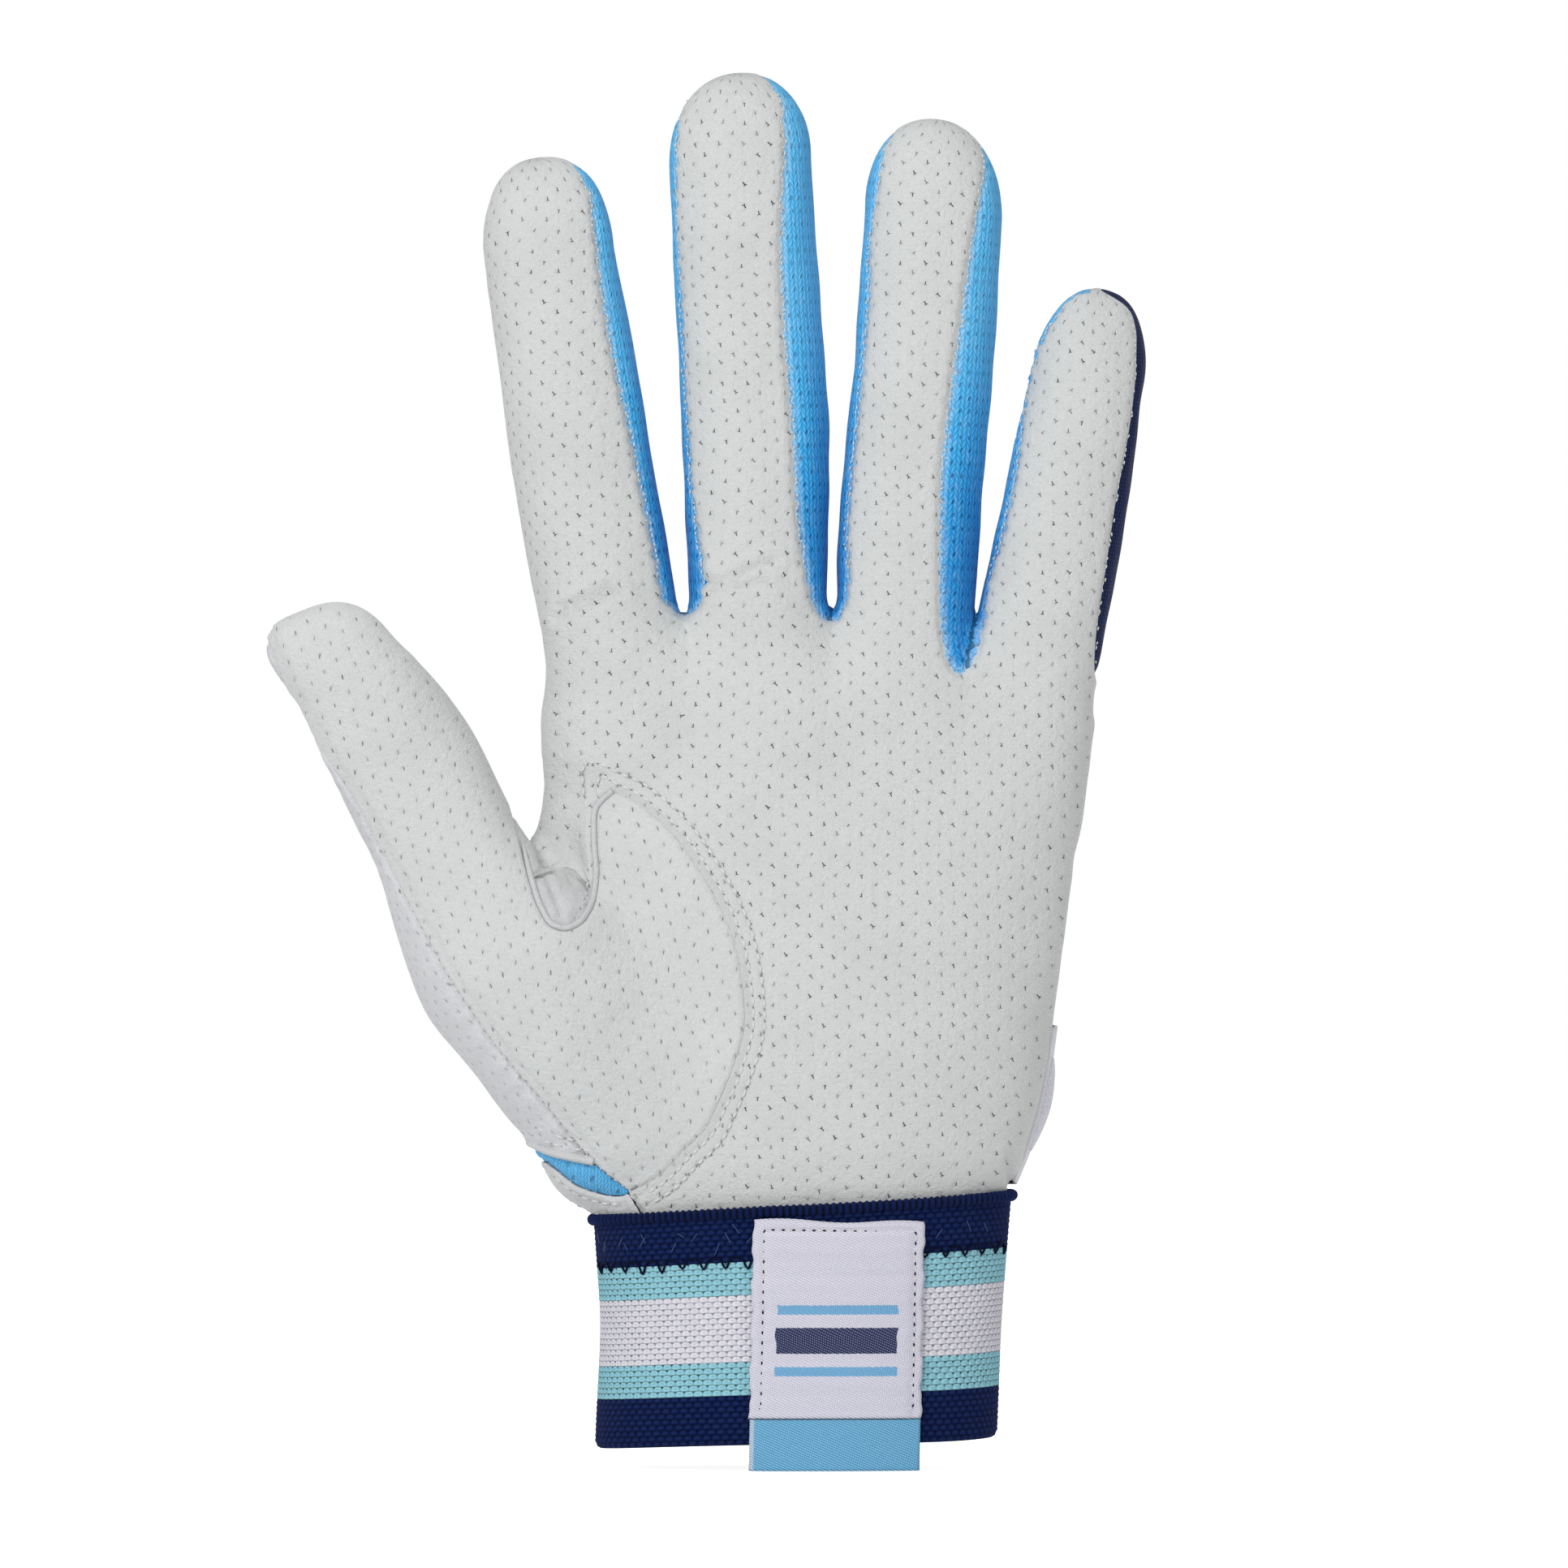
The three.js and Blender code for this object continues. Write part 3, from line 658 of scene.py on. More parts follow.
@dataclass(frozen=True)
class SeamLines:
    """Where the seams run, in x and z, as they show from the palm side."""

    fork_left: tuple[Line, ...] = (
        ((-36.7, 208.3), (-35.1, 205.8), (-33.9, 203.3), (-32.9, 195.4), (-31.8, 187.5), (-30.4, 179.6),
         (-28.8, 171.7), (-27.0, 163.8), (-25.4, 155.9), (-23.8, 148.0), (-22.6, 142.1)),
        ((-5.4, 222.2), (-3.0, 219.3), (-2.6, 215.7), (-2.2, 212.9), (-2.3, 208.7), (-2.6, 204.1),
         (-2.8, 195.4), (-2.4, 187.5), (-2.0, 179.6), (-1.3, 171.7), (-0.7, 163.8), (-0.3, 155.9),
         (0.4, 148.0), (1.1, 144.1)),
        ((28.6, 212.9), (30.1, 210.3), (30.1, 207.9), (29.7, 204.1), (28.8, 199.5), (28.2, 194.9),
         (27.2, 187.5), (26.1, 179.6), (25.0, 171.7), (23.9, 163.8), (23.3, 155.9), (23.2, 148.0)))
    fork_foot: tuple[Line, ...] = (
        ((-21.9, 138.4), (-20.5, 136.5), (-18.4, 135.4), (-16.6, 136.3), (-15.7, 137.9)),
        ((1.6, 141.3), (2.4, 137.9), (3.6, 135.4), (5.1, 134.4), (6.7, 135.1), (7.8, 137.9)),
        ((23.2, 138.7), (23.4, 134.0), (23.9, 130.1), (25.0, 126.7), (26.7, 125.8), (28.3, 127.1),
         (29.2, 130.1), (30.2, 134.8)))
    fork_right: tuple[Line, ...] = (
        ((-15.4, 142.1), (-16.3, 148.0), (-17.4, 155.9), (-17.8, 163.8), (-18.4, 171.7), (-18.7, 179.6),
         (-19.1, 187.5), (-19.4, 194.7), (-19.6, 200.5), (-19.6, 208.3), (-19.5, 212.9), (-18.9, 216.4),
         (-18.4, 218.4), (-17.4, 220.4)),
        ((8.2, 141.7), (7.9, 148.0), (8.5, 155.9), (9.3, 163.8), (10.1, 171.7), (10.8, 179.6),
         (11.5, 187.5), (11.6, 194.1), (12.0, 197.9), (12.8, 202.9), (13.6, 207.5), (14.5, 211.4),
         (15.9, 213.3)),
        ((30.8, 139.8), (32.0, 144.1), (33.2, 148.0), (34.1, 152.0), (35.7, 159.9), (36.7, 167.8),
         (37.8, 173.8), (38.9, 178.0), (40.9, 182.0), (44.3, 186.6), (47.6, 188.2)))
    navy: Line = ((49.5, 188.2), (53.8, 185.3), (55.1, 181.8), (55.3, 178.3), (55.2, 173.8), (54.7, 169.1),
                  (54.1, 165.0), (52.8, 158.0), (51.8, 152.8), (50.5, 143.9), (49.5, 137.4), (48.8, 132.0),
                  (48.5, 126.7))
    side: Line = ((-85.5, 129.4), (-84.2, 126.1), (-82.6, 122.6), (-80.3, 119.0), (-76.9, 112.6),
                  (-73.4, 107.2), (-70.9, 103.0), (-64.7, 90.9), (-57.1, 76.8), (-50.3, 66.7),
                  (-47.9, 63.5), (-41.6, 56.1), (-36.6, 49.9), (-33.2, 46.0), (-27.5, 41.4))
    foot: Line = ((-26.2, 39.1), (-25.0, 37.0))
    arc: Line = ((-27.5, 41.4), (-22.2, 44.6), (-18.6, 48.4), (-15.1, 51.8), (-13.3, 55.4), (-11.6, 59.2),
                 (-9.9, 63.8), (-8.8, 67.8), (-8.7, 71.1), (-9.1, 75.7), (-10.1, 81.1), (-11.6, 85.4),
                 (-13.6, 89.6), (-17.5, 95.8), (-20.7, 99.9), (-24.1, 103.0), (-27.0, 105.1), (-29.7, 106.3))
    web: Line = ((-29.7, 106.3), (-31.3, 104.9), (-32.5, 103.0), (-32.5, 97.9), (-32.2, 93.3), (-32.9, 88.7),
                 (-34.3, 85.9), (-35.5, 84.7), (-37.5, 83.9), (-39.5, 84.3), (-40.9, 85.4), (-42.4, 88.2),
                 (-43.3, 90.7), (-44.1, 93.3), (-45.1, 97.0), (-46.1, 100.4), (-47.2, 103.8))
    arch: Line = ((-46.5, 90.5), (-42.5, 92.9), (-41.4, 93.6), (-39.9, 94.2), (-37.9, 94.5), (-36.2, 93.8),
                  (-34.9, 92.4), (-31.0, 88.5))
    window_top: Line = ((-27.5, 41.4), (-33.2, 45.9), (-37.2, 46.7), (-40.5, 47.5), (-43.7, 48.8), (-60, 52))
    window_low: Line = ((-60, 47), (-43.4, 46.4), (-40.1, 45.5), (-35.9, 42.4), (-31.1, 40.9), (-28.2, 40.9))
    thumb_back: Line = ((-64, 160), (-58, 138), (-48, 112), (-43.8, 97), (-38, 75), (-31, 49),
                        (-29, 41), (-27, 0))
    creases: tuple[Line, ...] = (
        ((-39.2, 134.6), (-37.2, 135.3), (-33.3, 136.8), (-28.7, 139.1)),
        ((-38.6, 136.2), (-34.6, 137.8), (-30.4, 139.9)),
        ((-15.1, 140.5), (-10.9, 141.2), (-7.0, 142.8), (-3.6, 144.3)),
        ((-14.2, 139.1), (-8.9, 139.9), (-5.0, 140.8)),
        ((34.2, 47.4), (34.5, 41.4)))

    def fork(self, number: int) -> Array:
        """Outline of the knit between two fingers, closed past their tips.

        Args:
            number: 0 beside the index finger to 2 beside the little one.

        Returns:
            Corners in x and z.
        """
        left, right = self.fork_left[number], self.fork_right[number]
        (lx, lz), (rx, rz) = left[0], right[-1]
        points = [*left, *self.fork_foot[number], *right]
        curve = smooth_line(points, 1.2)
        out = rx + (3.0 if number == 2 else -1.0)
        cap = [(out, rz + 4.0), (out, 245.0), (lx - 3.0, 245.0), (lx - 3.0, lz + 4.0)]
        return np.vstack([curve, cap])

    def back_fork(self, number: int) -> Array:
        """Outline of the knit between two fingers, seen on their backs.

        Args:
            number: 0 beside the index finger to 2 beside the little one.

        Returns:
            Corners in x and z.
        """
        a, b = FINGERS[number], FINGERS[number + 1]
        inset = 2.6
        foot = self.fork_foot[number]
        low = min(z for _, z in foot) - 5.0
        mid = float(np.mean([x for x, _ in foot]))
        left, right = [], []
        for digit, side, out in ((a, 1, left), (b, -1, right)):
            for along in np.linspace(digit.tip - 6.0, 4.0, 24):
                wide = digit.table.read(np.array([along]))[1 if side > 0 else 0][0] - inset
                bow = digit.shift * max(0.0, (along - digit.crown) / 14.0)
                out.append(digit.place(side * wide + bow, along))
        (lx, lz), (rx, rz) = left[0], right[0]
        foot_curve = [(mid - 3.6, low + 4.2), (mid, low), (mid + 3.6, low + 4.2)]
        cap = [(rx + 2.0, rz + 5.0), (rx + 2.0, 245.0), (lx - 2.0, 245.0), (lx - 2.0, lz + 5.0)]
        return np.vstack([left, foot_curve, right[::-1], cap])

    def thumb_outline(self) -> Array:
        """Outline of the thumb's front leather.

        Returns:
            Corners in x and z.
        """
        side = smooth_line(self.side, 1.0)[::-1]
        past = [(-98.0, 142.0), (-62.0, 156.0)]
        return np.vstack([side, past, smooth_line(self.web, 0.7)[::-1], smooth_line(self.arc, 0.9)[::-1]])

    def left_outline(self) -> Array:
        """Outline of everything past the thumb's side seam."""
        line = smooth_line([*self.side, *self.foot], 1.0)
        return np.vstack([[(-96.0, 152.0)], line, [(-24.5, 0.0), (-130.0, 0.0), (-130.0, 152.0)]])

    def behind_outline(self) -> Array:
        """Outline of the thumb's back leather."""
        line = smooth_line(self.thumb_back, 2.0)
        return np.vstack([line, [(-130.0, 0.0), (-130.0, 160.0)]])

    def web_outline(self) -> Array:
        """Outline of the U-shaped opening beside the thumb."""
        return np.vstack([smooth_line(self.web, 0.7), [(-50.0, 112.0), (-44.0, 116.0), (-29.0, 112.0)]])

    def window_outline(self) -> Array:
        """Outline of the knit window at the foot of the thumb."""
        return np.vstack([smooth_line(self.window_top, 0.8), smooth_line(self.window_low, 0.8)])

    def strap_base_outline(self) -> Array:
        """Outline of the strip below the window.

        Returns:
            Corners in x and z.
        """
        low = smooth_line(self.window_low, 0.8)[::-1]
        return np.vstack([[(-27.5, 41.4)], low, [(-70.0, 47.5), (-70.0, 0.0), (-24.5, 0.0), (-25.0, 37.0),
                                                 (-26.2, 39.1)]])


SEAMS = SeamLines()


def soft_noise(p: Array, size: float, seed: int) -> Array:
    """Smooth noise between -1 and 1 over points, with lumps of about one size.

    Args:
        p: Places.
        size: Size of the lumps.
        seed: Number that picks the pattern.

    Returns:
        The noise at each place.
    """
    pick = np.random.default_rng(seed)
    total = np.zeros(len(p))
    for _ in range(14):
        way = unit(pick.normal(size=3))
        total += np.sin(p @ way * (2 * math.pi / size) * pick.uniform(0.6, 1.5) + pick.uniform(0, 6.28))
    return total / 4.0


class Panels:
    """Cuts the hand's form into the glove's panels and gives each its relief."""

    split = 0.8

    def __init__(self, form: HandForm) -> None:
        """Covers the form and works out which panel each point belongs to."""
        self.skin = form.skin()
        self.fields(self.skin)

    def fields(self, skin: Skin) -> None:
        """Works out the seam distances and zones at every point of a skin.

        Args:
            skin: The skin, which gains the values.
        """
        x, y, z = skin.co.T
        across, along = THUMB.local(x, z)
        side_depth = THUMB.centre_depth(along) + 1.0
        index_across, _ = INDEX.local(x, z)
        little_side = ramp(x, 36.0, 42.0) * (1 - ramp(z, 114.0, 130.0))
        fold = self.split + 3.2 * (ramp(-index_across, 0.0, 6.0) + little_side)
        fold = fold + 4.0 * ramp(-x, 34.0, 40.0) * ramp(z, 66.0, 96.0) * (1 - ramp(z, 108.0, 142.0))
        waver = 0.13 * np.sin(z * 2.9 + x) + 0.10 * np.sin(z * 1.7 - y) + 0.06 * np.sin(z * 6.1)
        end = np.maximum.reduce([ramp(d.local(x, z)[1], d.tip - 28.0, d.tip - 14.0) for d in FINGERS[:3]])
        forks = [inside(SEAMS.fork(i), x, z) + waver - 0.3 * end for i in range(3)]
        backs = [inside(SEAMS.back_fork(i), x, z) for i in range(3)]
        past = [(49.2, 119.0), (80.0, 119.0), (80.0, 205.0), (47.5, 205.0)]
        navy = inside(np.vstack([smooth_line(SEAMS.navy, 1.2), past]), x, z)
        left = inside(SEAMS.left_outline(), x, z)
        thumb = inside(SEAMS.thumb_outline(), x, z)
        web = inside(SEAMS.web_outline(), x, z)
        arch = np.array(SEAMS.arch)
        under = np.interp(x, arch[:, 0], arch[:, 1]) - z
        tongue = np.minimum(web, under)
        rear = np.minimum(inside(SEAMS.behind_outline(), x, z), y - side_depth)
        outer = np.maximum(left, rear)
        window = inside(SEAMS.window_outline(), x, z)
        base = inside(SEAMS.strap_base_outline(), x, z)
        facing = side_depth - y
        val = skin.val
        val["front"] = np.minimum.reduce([
            fold - y, -left, -np.minimum(thumb, facing), -np.minimum(tongue, facing), -rear,
            *[-f for f in forks], -navy])
        val["thumb"] = np.minimum.reduce([-left, thumb, facing, -tongue])
        val["tongue"] = np.minimum.reduce([-left, tongue, facing])
        val["side"] = np.minimum.reduce([outer, -window, -base])
        val["window"] = np.minimum(outer, window)
        val["base"] = np.minimum.reduce([outer, base, -window])
        val["back"] = np.maximum(np.minimum.reduce([y - fold, -rear, -left, *[-b for b in backs]]),
                                 np.minimum(navy, -forks[2]))
        for i, (ahead, behind) in enumerate(zip(forks, backs)):
            val[f"fork{i}"] = np.minimum(np.maximum(ahead, y - self.split),
                                         np.maximum(behind, self.split - y))
        val["arc"] = from_line(smooth_line(SEAMS.arc, 1.0), x, z)
        val["web"] = web
        val["under"] = under
        val["left"] = left
        val["crease"] = np.minimum.reduce([from_line(smooth_line(c, 1.0), x, z) for c in SEAMS.creases])
        wide = np.stack([np.abs(d.local(x, z)[0]) for d in FINGERS])
        hand = np.full(len(x), 99.0)
        val["tip"] = np.zeros(len(x))
        for i, digit in enumerate(FINGERS):
            _, reach = digit.local(x, z)
            near_tip = ramp(reach, digit.tip - 12.0, digit.tip - 4.0) * (wide[i] < 14.0)
            val["tip"] = np.maximum(val["tip"], near_tip)
            own = np.delete(wide, i, axis=0).min(axis=0) - wide[i]
            zone = np.minimum(reach - digit.flex_start, own)
            val[f"zone_{digit.name}"] = zone
            val[f"half_{digit.name}"] = reach - digit.knuckle / 2
            hand = np.minimum(hand, -zone)
        zone = np.minimum(along - THUMB.flex_start, 15.5 - np.abs(across))
        val["zone_thumb"] = zone
        val["half_thumb"] = along - THUMB.knuckle / 2
        val["zone_hand"] = np.minimum.reduce([hand, -zone, z - 31.0])
        self.flat_map(skin)

    def flat_map(self, skin: Skin) -> None:
        """Lays the surface out flat, so that cloth and leather patterns keep their size round a finger.

        Args:
            skin: The skin, which gains the flat directions.
        """
        x, y, z = skin.co.T
        u = x.copy()
        near = np.full(len(x), 1e9)
        round_u, round_v = x.copy(), z.copy()
        for digit in FINGERS:
            across, along, size, turn = digit.wrap(x, y, z)
            closer = np.abs(across) < near
            share = ramp(along, -4.0, 16.0)
            u = np.where(closer, x + share * (size * np.clip(turn, -2.2, 2.2) - across), u)
            round_u = np.where(closer, size * turn, round_u)
            round_v = np.where(closer, along, round_v)
            near = np.minimum(near, np.abs(across))
        skin.val["u"], skin.val["v"], skin.val["plain_u"] = u, z, x
        skin.val["round_u"], skin.val["round_v"] = round_u, round_v
        _, along, size, turn = THUMB.wrap(x, y, z)
        skin.val["thumb_u"], skin.val["thumb_v"] = size * turn, along

    def panel(self, name: str, levels: Sequence[float], relief: Callable[[Skin, Array], Array]) -> Skin:
        """One panel of the glove with its relief.

        Args:
            name: The panel's field.
            levels: Distances from the seam that get an edge of their own.
            relief: Height over the form, from the skin and the distance to the seam.

        Returns:
            The panel's triangles, raised, with their normals.
        """
        skin = self.skin.near(name, 3.0)
        steep = np.clip(np.linalg.norm(skin.slope(skin.val[name]), axis=1), 0.25, 1.2)
        skin.val[name] = skin.val[name] / steep
        skin = skin.cut(name)
        for level in levels:
            skin = skin.cut(name, level, both=True)
        height = relief(skin, skin.val[name])
        rise = skin.slope(height)
        skin.co = skin.co + skin.no * height[:, None]
        skin.no = unit(skin.no - rise)
        return skin

    def leather(self, skin: Skin, gap: Array) -> Array:
        """Relief of the palm and finger fronts.

        Args:
            skin: The panel.
            gap: Distance from its seam.

        Returns:
            Height over the form.
        """
        lap = ramp(skin.val["arc"], 0.0, 0.6)
        lip = -0.30 + 0.52 * ramp(gap, -0.1, 1.3)
        puff = 0.14 * np.exp(-(((gap - 1.7) / 0.9) ** 2))
        near_arc = 1 - ramp(skin.val["arc"], 2.0, 6.0)
        lip = np.where(skin.val["arc"] < 1.5, 0.08 + 0.14 * lap, lip)
        crease = skin.val["crease"]
        fold = 0.28 * np.exp(-(((crease - 1.5) / 0.9) ** 2)) - 0.75 * np.exp(-((crease / 0.5) ** 2))
        broad = 0.09 * soft_noise(skin.co, 19.0, 3) + 0.04 * soft_noise(skin.co * [0.7, 1.0, 1.6], 7.0, 5)
        sewn = sum(np.exp(-(((skin.val["arc"] - d) / 0.5) ** 2)) for d in (1.5, 3.3))
        inside_web = ramp(skin.val["web"], 1.6, 4.2)
        above = -skin.val["under"]
        pocket = -2.0 * inside_web * ramp(above, -0.6, 1.8) * (1 - 0.85 * ramp(above, 1.8, 9.0))
        rough = broad * ramp(gap, 0.0, 4.0) * (1 - 0.6 * near_arc)
        return (lip + puff) * (1 - 0.8 * skin.val["tip"]) + fold + rough + pocket - 0.2 * sewn

    def thumb_leather(self, skin: Skin, gap: Array) -> Array:
        """Relief of the thumb's front and ball.

        Args:
            skin: The panel.
            gap: Distance from its seam.

        Returns:
            Height over the form.
        """
        lap = 0.22 + 0.33 * ramp(gap, -0.05, 0.55)
        seam = -0.55 + 0.85 * ramp(gap, -0.1, 0.8)
        at_side = 1 - ramp(np.abs(skin.val["left"]), 1.0, 3.0)
        broad = 0.10 * soft_noise(skin.co, 15.0, 11) + 0.03 * soft_noise(skin.co, 6.0, 12)
        return np.where(at_side > 0.5, seam, lap) + broad * ramp(gap, 0.0, 4.0)

    def tongue_leather(self, skin: Skin, gap: Array) -> Array:
        """Relief of the folded tongue in the web.

        Args:
            skin: The panel.
            gap: Distance from its seam.

        Returns:
            Height over the form.
        """
        under = skin.val["under"]
        x, _, z = skin.co.T
        dome = 0.5 * ramp(gap, 0.0, 2.5)
        edge = -1.0 * (1 - ramp(under, 0.0, 1.3)) * ramp(skin.val["web"], 0.8, 3.0)
        fold = from_line(np.array([(-40.6, 92.6), (-39.8, 90.6), (-38.9, 88.4), (-38.6, 86.6)]), x, z)
        return dome + edge - 0.2 - 0.6 * np.exp(-((fold / 0.5) ** 2)) + 0.12 * soft_noise(skin.co, 3.0, 41)

    def side_leather(self, skin: Skin, gap: Array) -> Array:
        """Relief of the thumb's back and side, puckered along the side seam.

        Args:
            skin: The panel.
            gap: Distance from its seam.

        Returns:
            Height over the form.
        """
        _, along = THUMB.local(skin.co[:, 0], skin.co[:, 2])
        lip = -0.55 + 0.8 * ramp(gap, -0.1, 0.7)
        wave = np.sin(along * 2 * math.pi / 4.4 + 1.1 * np.sin(along * 0.45))
        pucker = (0.26 - 0.14 * ramp(along, 0.0, 12.0)) * wave * np.exp(-gap / 3.0) * ramp(gap, 0.0, 0.6)
        broad = 0.15 * soft_noise(skin.co, 14.0, 21)
        return lip + pucker + broad * ramp(gap, 0.0, 4.0)

    def knit(self, skin: Skin, gap: Array) -> Array:
        """Relief of a knit panel, drawn down at its seams."""
        drawn = (-0.30 + 0.32 * ramp(gap, 0.0, 1.8)) * (1 - 0.9 * skin.val["tip"])
        return drawn + 0.10 * soft_noise(skin.co, 9.0, 31) * ramp(gap, 0.0, 3.0)

    def hem(self, _: Skin, gap: Array) -> Array:
        """Relief of a flat sewn strip."""
        return 0.05 + 0.40 * ramp(gap, -0.05, 0.6) - 0.12 * np.exp(-(((gap - 1.6) / 0.4) ** 2))

    def zone(self, skin: Skin, name: str, sign: int = 1) -> Skin:
        """The part of a raised panel within a zone.

        Args:
            skin: A raised panel.
            name: The zone's name.
            sign: 1 for its inside or -1 for its outside.

        Returns:
            The triangles within it.
        """
        skin.val["cut"] = skin.val[name] * sign
        return skin.cut("cut")


@dataclass
class Bits:
    """Faces ready to become part of a mesh: points, normals, flat map and finish number."""

    co: Array
    tri: Array
    no: Array
    uv: Array
    finish: int = 0

    @staticmethod
    def shell(skin: Skin, wall: float, u: str, v: str) -> "Bits":
        """A closed wall under a raised panel.

        Args:
            skin: The panel's outside.
            wall: Its thickness.
            u: Value that gives the first flat direction.
            v: Value that gives the second.

        Returns:
            Outside, inside and rim.
        """
        count = len(skin.co)
        edges = np.vstack([skin.tri[:, [0, 1]], skin.tri[:, [1, 2]], skin.tri[:, [2, 0]]])
        key = np.sort(edges, axis=1)
        key = key[:, 0].astype(np.int64) * count + key[:, 1]
        _, first, times = np.unique(key, return_index=True, return_counts=True)
        rim = edges[first[times == 1]]
        a, b = rim[:, 0], rim[:, 1]
        uv = np.stack([skin.val[u], skin.val[v]], axis=1)
        inner = skin.co - skin.no * wall
        start = 2 * count
        ra, rb = np.arange(len(a)) + start, np.arange(len(a)) + start + len(a)
        rc, rd = ra + 2 * len(a), rb + 2 * len(a)
        out = unit(np.cross(skin.co[b] - skin.co[a], skin.no[a]))
        co = np.vstack([skin.co, inner, skin.co[a], skin.co[b], inner[a], inner[b]])
        no = np.vstack([skin.no, -skin.no, out, out, out, out])
        sides = np.vstack([np.stack([rb, ra, rc], 1), np.stack([rb, rc, rd], 1)])
        tri = np.vstack([skin.tri, skin.tri[:, ::-1] + count, sides])
        return Bits(co, tri, no, np.vstack([uv, uv, uv[a], uv[b], uv[a], uv[b]]))


Socket = bpy.types.NodeSocket
Material = bpy.types.Material
Colour = tuple[float, float, float]


def shade(red: int, green: int, blue: int) -> Colour:
    """A colour as it shows on a screen, made linear.

    Args:
        red: From 0 to 255.
        green: From 0 to 255.
        blue: From 0 to 255.

    Returns:
        The linear colour, from 0 to 1.
    """
    parts = [c / 255 for c in (red, green, blue)]
    r, g, b = (c / 12.92 if c <= 0.04045 else ((c + 0.055) / 1.055) ** 2.4 for c in parts)
    return r, g, b


@dataclass(frozen=True)
class Num:
    """A number that nodes work out, for use in plain sums."""

    graph: "Graph"
    socket: Socket

    def __add__(self, other: "Num | float") -> "Num":
        """This plus another number."""
        return self.graph.math("ADD", self, other)

    def __radd__(self, other: float) -> "Num":
        """A plain number plus this."""
        return self.graph.math("ADD", other, self)

    def __sub__(self, other: "Num | float") -> "Num":
        """This less another number."""
        return self.graph.math("SUBTRACT", self, other)

    def __rsub__(self, other: float) -> "Num":
        """A plain number less this."""
        return self.graph.math("SUBTRACT", other, self)

    def __mul__(self, other: "Num | float") -> "Num":
        """This times another number."""
        return self.graph.math("MULTIPLY", self, other)

    def __truediv__(self, other: "Num | float") -> "Num":
        """This over another number."""
        return self.graph.math("DIVIDE", self, other)

    def __mod__(self, other: float) -> "Num":
        """What is left of this over another number."""
        return self.graph.math("MODULO", self, other)

    def __abs__(self) -> "Num":
        """This without its sign."""
        return self.graph.math("ABSOLUTE", self)

    def floor(self) -> "Num":
        """The whole number below this."""
        return self.graph.math("FLOOR", self)

    def sin(self) -> "Num":
        """Its sine."""
        return self.graph.math("SINE", self)

    def cos(self) -> "Num":
        """Its cosine."""
        return self.graph.math("COSINE", self)


Value = Num | Socket | float
Paint = Socket | Colour


